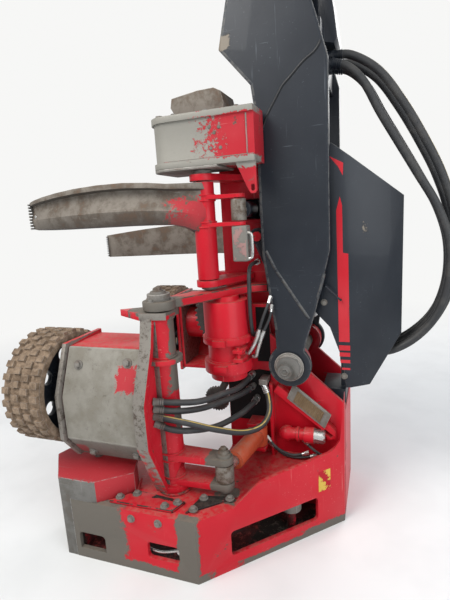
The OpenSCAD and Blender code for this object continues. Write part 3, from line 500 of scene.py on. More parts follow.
class Palette:
    """All finishes of the head, built once."""

    def __init__(self) -> None:
        """Builds each material."""
        self.red = Paint(
            "red_paint", (0.50, 0.007, 0.018), (0.54, 0.016, 0.028),
            bare_zones=(
                ((-0.80, -0.84, 0.15), (0.190, 0.05, 0.30)), ((-0.545, -0.84, -0.01), (0.14, 0.06, 0.055)),
                ((-0.30, -0.84, 0.14), (0.050, 0.05, 0.22)), ((-0.38, -0.84, 0.00), (0.16, 0.06, 0.035)),
                ((-0.53, -0.76, 0.335), (0.15, 0.045, 0.030)), ((0.06, -0.51, -0.01), (0.16, 0.16, 0.035)),
                ((0.22, -0.34, -0.005), (0.11, 0.11, 0.045)), ((-0.19, -0.62, 0.50), (0.07, 0.07, 0.06)),
                ((-0.19, -0.62, 0.34), (0.055, 0.06, 0.05)), ((-0.60, 0.83, 0.2), (0.15, 0.06, 0.12)),
                ((-0.43, 0.15, 1.96), (0.12, 0.10, 0.05)), ((-0.445, -0.62, 1.18), (0.085, 0.085, 0.035)),
                ((-0.385, -0.60, 0.88), (0.035, 0.06, 0.09)), ((-0.370, -0.60, 0.66), (0.03, 0.06, 0.05)),
                ((-0.385, -0.60, 1.05), (0.03, 0.05, 0.09)), ((-0.52, -0.62, 1.15), (0.07, 0.05, 0.03)),
            ),
        ).build()
        self.oily = Paint(
            "oily_red", (0.46, 0.007, 0.018), (0.50, 0.014, 0.026), bare_steel=(0.022, 0.021, 0.021),
            chip=(0.035, 0.030, 0.028), rubbed_steel=(0.10, 0.09, 0.08), dust_share=0.25, mottle=1.6, chip_level=0.60,
            bare_zones=(
                ((-0.265, -0.69, 0.31), (0.085, 0.095, 0.03)), ((-0.60, -0.71, 0.31), (0.03, 0.03, 0.03)),
                ((-0.45, -0.72, 0.31), (0.05, 0.02, 0.03)),
            ),
        ).build()
        self.box = Paint(
            "top_box_red", (0.42, 0.014, 0.024), (0.46, 0.035, 0.045), bare_steel=(0.28, 0.27, 0.24),
            chip=(0.10, 0.085, 0.07), mottle=3.2, dust_share=0.6, rough=0.42, chip_level=0.585,
            bare_zones=(
                ((-0.46, -0.45, 1.86), (0.23, 0.12, 0.30)), ((-0.54, -0.28, 1.86), (0.10, 0.20, 0.30)),
                ((-0.30, -0.45, 1.765), (0.40, 0.10, 0.024)), ((-0.25, -0.45, 1.975), (0.30, 0.10, 0.014)),
            ),
        ).build()
        self.black = Paint(
            "black_paint", (0.011, 0.014, 0.020), (0.017, 0.021, 0.028), scuff=(0.085, 0.095, 0.11),
            chip=(0.085, 0.088, 0.09), bare_steel=(0.19, 0.165, 0.135), rubbed_steel=(0.10, 0.11, 0.12),
            dust=(0.10, 0.105, 0.11), chip_level=0.70, dust_share=0.3, rough=0.33, gloss=0.28,
            mottle=2.6,
            bare_zones=(
                ((0.402, -0.235, 1.455), (0.014, 0.03, 0.034)), ((0.465, -0.235, 1.13), (0.014, 0.03, 0.085)),
                ((0.458, -0.235, 1.05), (0.020, 0.03, 0.02)), ((-0.20, -0.28, 2.29), (0.03, 0.03, 0.03)),
            ),
        ).build()
        # Darker black for the bead in the hanger's groove: painted shade.
        self.groove_shade = Paint(
            "groove_shade_black", (0.005, 0.006, 0.008), (0.007, 0.008, 0.010), scuff=(0.03, 0.03, 0.035),
            chip=(0.03, 0.03, 0.03), chip_level=0.75, dust_share=0.15, gloss=0.25,
        ).build()
        # Dull black for the wheel ears, also used for the column's sheets of painted shade.
        self.gloom = Paint(
            "dull_black_and_painted_shade", (0.007, 0.007, 0.008), (0.012, 0.011, 0.010), scuff=(0.03, 0.028, 0.025),
            chip=(0.05, 0.035, 0.025), chip_level=0.70, dust_share=0.2, rough=0.6, gloss=0.15, coat=0.0,
        ).build()
        self.dark_steel = WornSteel(
            "dark_steel", (0.050, 0.046, 0.043), (0.17, 0.16, 0.145), rust=(0.05, 0.032, 0.022), rust_share=0.5,
            bright_share=0.25,
        ).build()
        self.brass = WornSteel(
            "brown_mesh", (0.16, 0.105, 0.055), (0.34, 0.25, 0.15), rust=(0.10, 0.055, 0.03), rust_share=0.7,
        ).build()
        self.orange = Paint(
            "faded_orange", (0.46, 0.075, 0.030), (0.52, 0.11, 0.05), scuff=(0.58, 0.22, 0.14),
            chip_level=0.60, dust_share=0.5, rough=0.45,
        ).build()
        self.pale = Paint(
            "pale_paint", (0.30, 0.16, 0.15), (0.33, 0.22, 0.20), bare_steel=(0.27, 0.26, 0.24), chip_level=0.42,
            chip=(0.20, 0.19, 0.17), dust_share=0.5, rough=0.45,
        ).build()
        self.steel = WornSteel("worn_steel").build()
        self.toe = WornSteel(
            "toe_steel", (0.125, 0.120, 0.108), (0.33, 0.32, 0.31), rust_share=0.30, bright_share=0.25,
            paint_zones=(((-0.80, -0.70, 0.415), (0.22, 0.11, 0.012)),),
        ).build()
        # The motor covers get painted shade on their faces that look down.
        self.cover = WornSteel(
            "cover_steel", (0.205, 0.190, 0.158), (0.29, 0.275, 0.24), rust=(0.15, 0.125, 0.09), rust_share=0.35,
            bright_share=0.55, speck_share=0.55, underside_shade=0.55, metal=0.2,
            paint_zones=(((-0.555, -0.755, 0.885), (0.045, 0.04, 0.05)), ((-0.84, -0.76, 0.52), (0.03, 0.04, 0.03)),
                         ((-0.555, 0.755, 0.91), (0.045, 0.05, 0.055)), ((-0.70, 0.72, 1.00), (0.09, 0.04, 0.05))),
        ).build()
        # The blades get painted shade on their faces that look down.
        self.blade = WornSteel(
            "blade_steel", (0.105, 0.085, 0.066), (0.30, 0.27, 0.235), rust_share=0.8, bright_share=0.5,
            underside_shade=0.8, paint_zones=(((-0.34, -0.40, 1.56), (0.095, 0.09, 0.07)),
                                          ((-0.34, 0.40, 1.34), (0.095, 0.09, 0.07))),
        ).build()
        self.mud = Mud("muddy_tread").build()
        self.hose = Hose("hose_rubber").build()
        self.chrome = Chrome("rod_chrome").build()
        self.zinc = Chrome("zinc_fitting", (0.50, 0.50, 0.49), (0.26, 0.24, 0.20)).build()
        self.decal = Paint(
            "red_stripe", (0.46, 0.010, 0.020), (0.50, 0.03, 0.04), chip=(0.03, 0.03, 0.035),
            bare_steel=(0.03, 0.033, 0.04), rubbed_steel=(0.03, 0.033, 0.04), chip_level=0.62, dust_share=0.2,
            scuff=(0.10, 0.03, 0.035),
        ).build()
        self.patch = Paint(
            "faded_yellow", (0.62, 0.40, 0.04), (0.66, 0.46, 0.08), chip=(0.46, 0.012, 0.025),
            bare_steel=(0.46, 0.012, 0.025), rubbed_steel=(0.46, 0.012, 0.025), chip_level=0.485, dust_share=0.2,
            scuff=(0.50, 0.10, 0.05),
        ).build()


# Mesh helpers


def place_in_scene(name: str, mesh: Mesh, material: Finish) -> bpy.types.Object:
    """Makes an object of a bmesh.

    Args:
        name: The piece's name.
        mesh: The shape, which is freed.
        material: Its finish.

    Returns:
        The new object, at the origin.
    """
    data = bpy.data.meshes.new(name)
    mesh.to_mesh(data)
    mesh.free()
    data.materials.append(material)
    for polygon in data.polygons:
        polygon.use_smooth = True
    data.set_sharp_from_angle(angle=math.radians(32))
    made = bpy.data.objects.new(name, data)
    bpy.context.scene.collection.objects.link(made)
    return made


def face_layer(mesh: Mesh, name: Face) -> bmesh.types.BMLayerItem:
    """Returns the float layer of that name on the faces, made if it isn't there."""
    return mesh.faces.layers.float.get(name.value) or mesh.faces.layers.float.new(name.value)


def soften(mesh: Mesh, width: float, segments: int = 2, angle: float = 35.0) -> None:
    """Bevels the sharp edges and marks the new faces as edges for wear.

    Args:
        mesh: The shape to change.
        width: Width of the bevel in metres.
        segments: Steps across it.
        angle: Degrees above which an edge counts as sharp.
    """
    sharp = [e for e in mesh.edges if e.is_manifold and e.calc_face_angle(0.0) > math.radians(angle)]
    layer = face_layer(mesh, Face.EDGE)
    if not sharp:
        return
    made = bmesh.ops.bevel(
        mesh, geom=sharp, offset=width, offset_type="OFFSET", affect="EDGES", segments=segments,
        profile=0.5, material=-1, clamp_overlap=True,
    )
    for face in made["faces"]:
        face[layer] = 1.0


def merged_copy(source: bpy.types.Object) -> Mesh:
    """Copies a CAD node's mesh with its triangles joined into whole faces.

    Args:
        source: The node's object.

    Returns:
        The joined copy.
    """
    mesh = bmesh.new()
    mesh.from_mesh(source.data)
    bmesh.ops.remove_doubles(mesh, verts=mesh.verts, dist=0.00002)
    bmesh.ops.dissolve_limit(
        mesh, angle_limit=math.radians(0.6), use_dissolve_boundaries=False, verts=mesh.verts,
        edges=mesh.edges, delimit={"NORMAL"},
    )
    return mesh


def turned(at: Vector, axis: Vector) -> Matrix:
    """Returns the placement at a point with Z along an axis."""
    return Matrix.Translation(at) @ axis.to_track_quat("Z", "Y").to_matrix().to_4x4()


def add_disc(
    mesh: Mesh, at: Place, axis: Place, radius: float, height: float, sides: int = 20, top: float = 1.0,
) -> None:
    """Adds a closed disc or cone that stands on a point.

    Args:
        mesh: The mesh that it goes into.
        at: Middle of its foot.
        axis: Direction in which it stands.
        radius: Radius of its foot.
        height: Its height.
        sides: Sides of its outline.
        top: Radius of its top as a share of the foot's.
    """
    up = Vector(axis).normalized()
    bmesh.ops.create_cone(
        mesh, cap_ends=True, cap_tris=False, segments=sides, radius1=radius, radius2=radius * top,
        depth=height, matrix=turned(Vector(at) + up * height / 2, up),
    )


def add_bolt(mesh: Mesh, at: Place, axis: Place, size: float = 0.026) -> None:
    """Adds a washer and a hexagon head.

    Args:
        mesh: The mesh that it goes into.
        at: Middle of the washer's foot.
        axis: Direction in which it stands.
        size: Width of the head.
    """
    up = Vector(axis).normalized()
    add_disc(mesh, at, axis, size * 0.85, size * 0.16)
    head = Vector(at) + up * size * 0.16
    add_disc(mesh, head, axis, size * 0.58, size * 0.42, 6)
    add_disc(mesh, head + up * size * 0.42, axis, size * 0.50, size * 0.06, 18, 0.8)


def add_bolt_circle(
    mesh: Mesh, centre: Place, axis: Place, radius: float, count: int, size: float, start: float = 0.0,
) -> None:
    """Adds a circle of bolts round one of the frame's axes.

    Args:
        mesh: The mesh that it goes into.
        centre: The circle's centre.
        axis: Direction in which the bolts stand, along X, Y or Z.
        radius: The circle's radius.
        count: Number of bolts.
        size: Width of a head.
        start: Turn of the first bolt in degrees.
    """
    first, second = (k for k in range(3) if not axis[k])
    for k in range(count):
        turn = math.radians(start + 360 / count * k)
        place = list(centre)
        place[first] += radius * math.cos(turn)
        place[second] += radius * math.sin(turn)
        add_bolt(mesh, tuple(place), axis, size)


def add_ring(
    mesh: Mesh, at: Place, axis: Place, radius: float, thick: float, steps: int = 40, sides: int = 8,
) -> None:
    """Adds a round ring, such as a weld bead.

    Args:
        mesh: The mesh that it goes into.
        at: Its centre.
        axis: Its axis.
        radius: Radius of its middle line.
        thick: Radius of its section.
        steps: Steps round it.
        sides: Sides of the section.
    """
    place = turned(Vector(at), Vector(axis).normalized())
    made = bmesh.ops.create_circle(
        mesh, cap_ends=False, radius=thick, segments=sides,
        matrix=place @ Matrix.Translation((radius, 0, 0)) @ Matrix.Rotation(math.pi / 2, 4, "X"),
    )
    edges = list({e for v in made["verts"] for e in v.link_edges})
    bmesh.ops.spin(
        mesh, geom=made["verts"] + edges, cent=Vector(at), axis=Vector(axis).normalized(),
        angle=math.tau, steps=steps, use_merge=True, use_duplicate=False,
    )


def add_plate(mesh: Mesh, outline: Sequence[Place], thick: Place) -> None:
    """Adds a flat plate.

    Args:
        mesh: The mesh that it goes into.
        outline: Corners of one face.
        thick: The way from that face to the other one.
    """
    face = mesh.faces.new([mesh.verts.new(Vector(p)) for p in outline])
    made = bmesh.ops.extrude_face_region(mesh, geom=[face], use_keep_orig=True)
    moved = [g for g in made["geom"] if isinstance(g, bmesh.types.BMVert)]
    bmesh.ops.translate(mesh, verts=moved, vec=Vector(thick))


def add_tube(
    mesh: Mesh, path: Sequence[Vector], radius: float, sides: int = 12, stripe: bool = False,
) -> None:
    """Sweeps a closed tube along a path.

    Args:
        mesh: The mesh that it goes into.
        path: Points of its middle line.
        radius: Its radius.
        sides: Sides of its section.
        stripe: Whether one side is marked as a printed line.
    """
    points = [Vector(p) for p in path]
    last = len(points) - 1
    ways = [(points[min(i + 1, last)] - points[max(i - 1, 0)]).normalized() for i in range(last + 1)]
    lane = mesh.verts.layers.float.get("lane") or mesh.verts.layers.float.new("lane")
    mark = face_layer(mesh, Face.STRIPE)
    made = bmesh.ops.create_circle(
        mesh, cap_ends=False, radius=radius, segments=sides, matrix=turned(points[0], ways[0]))
    ring = made["verts"]
    for number, vert in enumerate(ring):
        vert[lane] = float(number + 1)
    edges = list({e for v in ring for e in v.link_edges})
    rings = [edges]
    walls: list[bmesh.types.BMFace] = []
    for i in range(1, last + 1):
        made = bmesh.ops.extrude_edge_only(mesh, edges=rings[-1])
        ring = [g for g in made["geom"] if isinstance(g, bmesh.types.BMVert)]
        fresh = set(ring)
        rings.append([g for g in made["geom"] if isinstance(g, bmesh.types.BMEdge) and set(g.verts) <= fresh])
        walls += [g for g in made["geom"] if isinstance(g, bmesh.types.BMFace)]
        bmesh.ops.translate(mesh, verts=ring, vec=points[i] - points[i - 1])
        swing = ways[i - 1].rotation_difference(ways[i]).to_matrix()
        bmesh.ops.rotate(mesh, verts=ring, cent=points[i], matrix=swing)
    for end in (rings[0], rings[-1]):
        bmesh.ops.contextual_create(mesh, geom=end)
    for wall in walls:
        if stripe and {round(v[lane]) for v in wall.verts} == {1, 2}:
            wall[mark] = 1.0


def curve_through(stops: Sequence[Place], steps: int) -> list[Vector]:
    """Runs a smooth line through points.

    Args:
        stops: The points in metres.
        steps: Stretches between two of them.

    Returns:
        The line's points.
    """
    p = [Vector(stop) for stop in stops]
    last = len(p) - 1
    line = []
    for i in range(last):
        a, b, c, d = p[max(i - 1, 0)], p[i], p[i + 1], p[min(i + 2, last)]
        for step in range(steps):
            t = step / steps
            line.append(0.5 * (2 * b + (c - a) * t + (2 * a - 5 * b + 4 * c - d) * t * t
                               + (3 * b - a - 3 * c + d) * t * t * t))
    return line + [p[last]]


def length_of(path: Sequence[Vector]) -> float:
    """Returns the length of a line through points."""
    return sum((b - a).length for a, b in zip(path, path[1:]))


@dataclass
class Head:
    """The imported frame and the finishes, shared by all sub-assemblies."""

    frame: dict
    palette: Palette
    count: int = 0

    def body_of(self, node: str) -> str:
        """Returns the body that a CAD node belongs to."""
        for body, nodes in self.frame["record"]["behaviour"]["bodies"].items():
            if node in nodes:
                return body
        raise KeyError(node)

    def dress(
        self, node: str, material: Finish, bevel: float = 0.005,
        shape: Callable[[Mesh], None] | None = None,
    ) -> bpy.types.Object:
        """Replaces a CAD node by a copy with softened, worn edges.

        Args:
            node: The CAD node.
            material: Its finish.
            bevel: Width of its edges in metres.
            shape: What is done to the copy before its edges are softened.

        Returns:
            The copy.
        """
        mesh = merged_copy(self.frame["nodes"][node])
        if shape:
            shape(mesh)
        soften(mesh, bevel)
        made = place_in_scene(node + "_worn", mesh, material)
        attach(made, self.body_of(node))
        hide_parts(node)
        self.count += 1
        LOG.info("dressed %s with %d faces", node, len(made.data.polygons))
        return made

    def dress_all(self, nodes: Sequence[str], material: Finish, bevel: float) -> None:
        """Dresses several CAD nodes with one finish and one width of edges."""
        for node in nodes:
            self.dress(node, material, bevel)

    def add(self, name: str, mesh: Mesh, material: Finish, body: str, slot: str) -> None:
        """Adds a piece of its own.

        Args:
            name: The piece's name.
            mesh: Its shape, at its place in the frame.
            material: Its finish.
            body: The body that it rides on.
            slot: Not used.
        """
        bmesh.ops.recalc_face_normals(mesh, faces=mesh.faces)
        made = place_in_scene(name, mesh, material)
        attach(made, body)
        self.count += 1
        LOG.info("added %s with %d faces", name, len(made.data.polygons))


# Studio


@dataclass(frozen=True)
class Studio:
    """Camera, lamps, floor and background."""

    camera_at: Place = (0.459, -2.262, 1.55)
    turn_deg: float = 20.0
    down_deg: float = 11.1
    lean_deg: float = -3.5
    focal_px: float = 433.0
    frame_height_px: float = 600.0
    sensor_mm: float = 36.0
    aim: Place = (-0.2, 0.0, 1.2)
    floor_colour: Colour = (0.80, 0.80, 0.79)
    backdrop: Colour = (0.93, 0.93, 0.92)

    def build(self) -> None:
        """Makes the whole studio."""
        self.camera()
        self.lamps()
        self.world()
        self.floor()

    def camera(self) -> None:
        """Makes the camera at the photograph's place and view."""
        data = bpy.data.cameras.new("camera")
        data.sensor_fit = "VERTICAL"
        data.sensor_height = self.sensor_mm
        data.lens = self.focal_px / self.frame_height_px * self.sensor_mm
        data.clip_start = 0.05
        made = bpy.data.objects.new("camera", data)
        turn = Matrix.Rotation(math.radians(self.turn_deg), 4, "Z")
        pitch = Matrix.Rotation(math.radians(90.0 - self.down_deg), 4, "X")
        lean = Matrix.Rotation(math.radians(self.lean_deg), 4, "Z")
        made.matrix_world = Matrix.Translation(self.camera_at) @ turn @ pitch @ lean
        bpy.context.scene.collection.objects.link(made)
        bpy.context.scene.camera = made

    def lamp(self, name: str, place: Place, size: float, power: float, colour: Colour) -> None:
        """Adds an area lamp that looks at the middle of the head.

        Args:
            name: Its name.
            place: Where it hangs.
            size: Side of its square in metres.
            power: Its power in watts.
            colour: Its colour.
        """
        data = bpy.data.lights.new(name, "AREA")
        data.size = size
        data.energy = power
        data.color = colour
        made = bpy.data.objects.new(name, data)
        made.location = place
        way = Vector(self.aim) - Vector(place)
        made.rotation_euler = way.to_track_quat("-Z", "Y").to_euler()
        bpy.context.scene.collection.objects.link(made)

    def lamps(self) -> None:
        """Makes soft daylight from above with a weaker fill from the camera's side."""
        self.lamp("sky_key", (-2.2, -3.4, 5.0), 3.0, 260.0, (1.0, 0.98, 0.95))
        self.lamp("sky_fill", (3.6, -3.0, 2.6), 3.5, 110.0, (0.92, 0.96, 1.0))
        self.lamp("back_rim", (1.5, 4.2, 4.2), 3.0, 120.0, (1.0, 1.0, 1.0))

    def world(self) -> None:
        """Makes the sky's light and, for the camera and for gloss, the pale backdrop."""
        world = bpy.data.worlds.new("studio")
        world.use_nodes = True
        tree = world.node_tree
        sky = tree.nodes["Background"]
        sky.inputs[0].default_value = (0.80, 0.85, 0.92, 1.0)
        sky.inputs[1].default_value = 0.55
        backdrop = tree.nodes.new("ShaderNodeBackground")
        backdrop.inputs[0].default_value = (*self.backdrop, 1.0)
        path = tree.nodes.new("ShaderNodeLightPath")
        seen = path.outputs["Is Camera Ray"]
        for ray in ("Is Glossy Ray", "Is Transmission Ray"):
            either = tree.nodes.new("ShaderNodeMath")
            either.operation = "MAXIMUM"
            tree.links.new(seen, either.inputs[0])
            tree.links.new(path.outputs[ray], either.inputs[1])
            seen = either.outputs[0]
        mix = tree.nodes.new("ShaderNodeMixShader")
        tree.links.new(seen, mix.inputs[0])
        tree.links.new(sky.outputs[0], mix.inputs[1])
        tree.links.new(backdrop.outputs[0], mix.inputs[2])
        tree.links.new(mix.outputs[0], tree.nodes["World Output"].inputs[0])
        bpy.context.scene.world = world

    def floor(self) -> None:
        """Makes the plain pale floor, which turns into the backdrop far away."""
        mesh = bmesh.new()
        bmesh.ops.create_grid(mesh, x_segments=1, y_segments=1, size=40.0)
        shade = Shade("studio_floor")
        tone = shade.noise(0.4, 3.0)
        colour = shade.mix(self.floor_colour, (0.76, 0.76, 0.75), tone.band(0.4, 0.7))
        material = shade.finish(colour, 0.8)
        away = shade.node("ShaderNodeVectorMath", {"operation": "LENGTH"}, {0: shade.place})
        path = shade.node("ShaderNodeLightPath", {}, {})
        seen = Expr(shade, path.outputs["Is Camera Ray"])
        glow = shade.node("ShaderNodeEmission", {}, {"Color": self.backdrop, "Strength": 1.0})
        share = Expr(shade, away.outputs["Value"]).band(1.8, 5.5) * seen
        mixed = shade.node("ShaderNodeMixShader", {}, {0: share, 1: shade.shader.outputs[0], 2: glow.outputs[0]})
        shade.tree.links.new(mixed.outputs[0], shade.output.inputs[0])
        made = place_in_scene("studio_floor", mesh, material)


# Hoses


@dataclass(frozen=True)
class HoseRun:
    """One hose: its route in metres, its radius, the steps between stops, and whether it has a printed line."""

    name: str
    route: Route
    radius: float
    steps: int = 7
    stripe: bool = False

    def build(self, head: Head, node: str, low_body: str, high_body: str, low: Place, high: Place) -> None:
        """Makes the hose and its end fittings.

        Args:
            head: The head that it belongs to.
            node: The CAD node that it stands for.
            low_body: The body at the route's last point.
            high_body: The body at the route's first point.
            low: Not used.
            high: Not used.
        """
        path = curve_through(self.route, self.steps)
        mesh = bmesh.new()
        add_tube(mesh, path, self.radius, 14, self.stripe)
        bmesh.ops.recalc_face_normals(mesh, faces=mesh.faces)
        made = place_in_scene(self.name, mesh, head.palette.hose)
        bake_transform(made)
        length_of(path)
        2 * self.radius
        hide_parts(node)
        dull = high_body.startswith("drive_arm")
        for end, body, ahead, metal in (
            (path[0], high_body, path[1], head.palette.steel if dull else head.palette.black),
            (path[-1], low_body, path[-2], head.palette.zinc),
        ):
            self.fitting(head, f"{self.name}_fitting_{body}", body, end, ahead - end, metal)
        LOG.info("laid %s, %.2f m long", self.name, length_of(path))

    def fitting(
        self, head: Head, name: str, body: str, end: Vector, way: Vector, metal: Finish,
    ) -> None:
        """Adds the crimped sleeve and the nut at one end."""
        mesh = bmesh.new()
        up = way.normalized()
        add_disc(mesh, end, up, self.radius * 1.34, 0.010, 6)
        add_disc(mesh, end + up * 0.010, up, self.radius * 1.14, 0.016, 20)
        for step in range(3):
            add_disc(mesh, end + up * (0.022 + 0.009 * step), up, self.radius * 1.2, 0.006, 20)
        head.add(name, mesh, metal, body, "worn_steel")


@dataclass(frozen=True)
class Hoses:
    """The main loop at the back and the hoses to the near drive motor."""

    loop_radius: float = 0.019
    # Plane in y, share of the way from the outer route to the inner one, and whether it carries a line.
    loop_rows: tuple[tuple[float, float, bool], ...] = (
        (-0.090, 1.0, False), (-0.040, 0.0, True), (0.020, 0.85, False), (0.080, 0.1, True),
    )
    loop_outer: Outline = (
        (0.2452, 2.235), (0.330, 2.226), (0.447, 2.145), (0.548, 2.005), (0.641, 1.840),
        (0.719, 1.675), (0.772, 1.500), (0.790, 1.320), (0.770, 1.150), (0.708, 1.005),
        (0.615, 0.905), (0.520, 0.852), (0.4202, 0.840),
    )
    loop_inner: Outline = (
        (0.2452, 2.190), (0.318, 2.165), (0.388, 2.090), (0.455, 1.960), (0.535, 1.820),
        (0.610, 1.690), (0.700, 1.530), (0.752, 1.370), (0.755, 1.190), (0.708, 1.030),
        (0.622, 0.920), (0.520, 0.855), (0.4202, 0.840),
    )
    loop_blend: tuple[Place, Place] = ((0.70, 0.0, 1.05), (0.40, 0.0, 2.12))
    arm_blend: tuple[Place, Place] = ((-0.15, -0.30, 0.66), (-0.42, -0.69, 0.70))
    arm_radius: float = 0.014
    arm_routes: tuple[Route, ...] = (
        ((-0.4698, -0.712, 0.700), (-0.330, -0.695, 0.678), (-0.215, -0.620, 0.620), (-0.130, -0.515, 0.562),
         (-0.070, -0.415, 0.548), (-0.048, -0.335, 0.580), (-0.062, -0.282, 0.640), (-0.088, -0.262, 0.6998)),
        ((-0.4698, -0.710, 0.768), (-0.305, -0.625, 0.745), (-0.220, -0.500, 0.738), (-0.180, -0.400, 0.728),
         (-0.165, -0.300, 0.730), (-0.160, -0.2202, 0.730)),
        ((-0.4698, -0.710, 0.734), (-0.375, -0.672, 0.716), (-0.295, -0.570, 0.692), (-0.232, -0.440, 0.678),
         (-0.185, -0.330, 0.668), (-0.160, -0.2202, 0.665)),
        ((-0.4698, -0.710, 0.666), (-0.375, -0.685, 0.630), (-0.250, -0.580, 0.606), (-0.180, -0.420, 0.595),
         (-0.145, -0.300, 0.600), (-0.140, -0.2202, 0.600)),
    )

    def loop_route(self, y: float, inner: float) -> Route:
        """Returns the route of one hose of the main loop.

        Args:
            y: The plane that it runs in.
            inner: How far it runs from the outer route towards the inner one, 0 to 1.

        Returns:
            The route's stops.
        """
        pairs = zip(self.loop_outer, self.loop_inner)
        return tuple((a[0] + (b[0] - a[0]) * inner, y, a[1] + (b[1] - a[1]) * inner) for a, b in pairs)

    def build(self, head: Head) -> None:
        """Lays every hose."""
        for number, (y, inner, stripe) in enumerate(self.loop_rows):
            run = HoseRun(f"loop_hose_{number}", self.loop_route(y, inner), self.loop_radius, stripe=stripe)
            run.build(head, "loop_hoses", "chassis", "hanger", *self.loop_blend)
        for number, route in enumerate(self.arm_routes):
            run = HoseRun(f"arm_hose_{number}", route, self.arm_radius, stripe=number == 0)
            run.build(head, "arm_hoses", "chassis", "drive_arm_near", *self.arm_blend)


# Sub-assemblies


@dataclass(frozen=True)
class Base:
    """Saw box, its steel toe, deck plates and their bolts."""

    wall_y: float = -0.830
    # Edges through the outer walls, of these lengths and heights, are the slots' corners.
    outer_y: float = -0.76
    outer_slant: float = 0.50
    wall_thick: tuple[float, float] = (0.012, 0.034)
    slot_z: tuple[float, float] = (0.06, 0.29)
    slot_radius: float = 0.017
    # Faces within these bounds are the box's grimy inside; a slant is a point's x less its y.
    inner_y: float = -0.815
    inner_slant: float = 0.555
    inner_x: tuple[float, float] = (-0.87, 0.29)
    inner_top_z: float = 0.295
    toe_bolts: Outline = ((-0.565, 0.262), (-0.432, 0.264))
    deck_bolts: Route = (
        (-0.650, -0.775, 0.314), (-0.420, -0.780, 0.314), (-0.585, -0.735, 0.314), (-0.375, -0.745, 0.314),
        (-0.290, -0.765, 0.310), (-0.160, -0.655, 0.310), (-0.275, -0.680, 0.310),
    )
    hood_bolt: Place = (-0.860, -0.620, 0.405)
    slot_line: Route = ((-0.520, -0.795, 0.096), (-0.443, -0.800, 0.094), (-0.350, -0.795, 0.120))
    weld_runs: tuple[tuple[Place, Place], ...] = (
        ((-0.300, -0.204, 0.302), (0.300, -0.204, 0.302)),
        ((-0.300, 0.204, 0.302), (0.300, 0.204, 0.302)),
        ((-0.640, -0.604, 0.302), (-0.604, -0.708, 0.302)),
    )
    patch_at: Place = (0.2175, -0.3525, 0.268)
    patch_size: tuple[float, float] = (0.070, 0.105)

    def build(self, head: Head) -> None:
        """Dresses the box and adds its fittings."""
        head.dress("saw_box", head.palette.red, 0.006, self.round_slots)
        head.dress("saw_box_nose", head.palette.toe, 0.009, self.mark_paint)
        head.dress("deck_plates", head.palette.oily, 0.004)
        head.dress("main_bar", head.palette.steel, 0.003)
        bolts = bmesh.new()
        for x, z in self.toe_bolts:
            add_bolt(bolts, (x, self.wall_y, z), (0, -1, 0), 0.022)
        for place in (*self.deck_bolts, self.hood_bolt):
            add_bolt(bolts, place, UP, 0.024)
        head.add("base_bolts", bolts, head.palette.steel, "chassis", "worn_steel")
        self.welds(head)
        self.blank_patch(head)
        self.pipe_in_slot(head)

    def pipe_in_slot(self, head: Head) -> None:
        """Adds the short pipe that shows in the toe's slot."""
        line = bmesh.new()
        add_tube(line, curve_through(self.slot_line, 6), 0.006, 10)
        for x, _, z in (self.slot_line[0], self.slot_line[-1]):
            add_disc(line, (x, -0.790, z), (0, -1, 0), 0.012, 0.022, 14)
        head.add("slot_line", line, head.palette.zinc, "chassis", "worn_steel")

    def round_slots(self, mesh: Mesh) -> None:
        """Rounds the slots' corners in the walls and marks the box's inside."""
        walls = (Vector((0, 1, 0)), Vector((1, -1, 0)).normalized())
        corners = []
        for edge in mesh.edges:
            middle = (edge.verts[0].co + edge.verts[1].co) / 2
            along = edge.verts[1].co - edge.verts[0].co
            across = any(abs(along.normalized().dot(wall)) > 0.98 for wall in walls)
            outside = middle.y < self.outer_y or middle.x - middle.y > self.outer_slant
            through = self.wall_thick[0] < along.length < self.wall_thick[1]
            if across and outside and through and self.slot_z[0] < middle.z < self.slot_z[1]:
                corners.append(edge)
        bmesh.ops.bevel(
            mesh, geom=corners, offset=self.slot_radius, offset_type="OFFSET", affect="EDGES", segments=4, profile=0.5,
            material=-1, clamp_overlap=True,
        )
        layer = face_layer(mesh, Face.INSIDE)
        for face in mesh.faces:
            middle = face.calc_center_median()
            within = middle.y > self.inner_y and middle.x - middle.y < self.inner_slant
            low, high = self.inner_x
            if within and low < middle.x < high and 0.001 < middle.z < self.inner_top_z:
                face[layer] = 1.0

    def mark_paint(self, mesh: Mesh) -> None:
        """Marks the hood's back end and its top as still painted."""
        layer = face_layer(mesh, Face.PAINTED)
        for face in mesh.faces:
            middle = face.calc_center_median()
            if face.normal.x > 0.5 and middle.z > 0.28:
                face[layer] = 1.0
            elif face.normal.z > 0.7 and middle.z > 0.35:
                face[layer] = 0.62

    def welds(self, head: Head) -> None:
        """Adds the weld beads along the box's corners and the foot of the column."""
        mesh = bmesh.new()
        for start, end in self.weld_runs:
            add_tube(mesh, lumpy_line(start, end, 0.012, 0.0015), 0.005, 7)
        head.add("base_welds", mesh, head.palette.red, "chassis", "red_paint")

    def blank_patch(self, head: Head) -> None:
        """Adds the small faded patch on the slanted wall, with nothing on it."""
        mesh = bmesh.new()
        along = Vector((1, 1, 0)).normalized()
        out = Vector((1, -1, 0)).normalized()
        middle = Vector(self.patch_at) + out * 0.0002
        half, tall = self.patch_size[0] / 2, self.patch_size[1] / 2
        signs = ((-1, -1), (1, -1), (1, 1), (-1, 1))
        corners = [middle + along * a * half + Vector((0, 0, b * tall)) for a, b in signs]
        add_plate(mesh, corners, tuple(out * 0.0006))
        head.add("faded_patch", mesh, head.palette.patch, "chassis", "red_paint")


def lumpy_line(start: Place, end: Place, step: float, swing: float) -> list[Vector]:
    """Returns points from start to end that waver a little, as a weld bead does."""
    a, b = Vector(start), Vector(end)
    count = max(2, round((b - a).length / step))
    line = [a.lerp(b, i / count) for i in range(count + 1)]
    return [p + noise.noise_vector(p * 90.0) * swing for p in line]


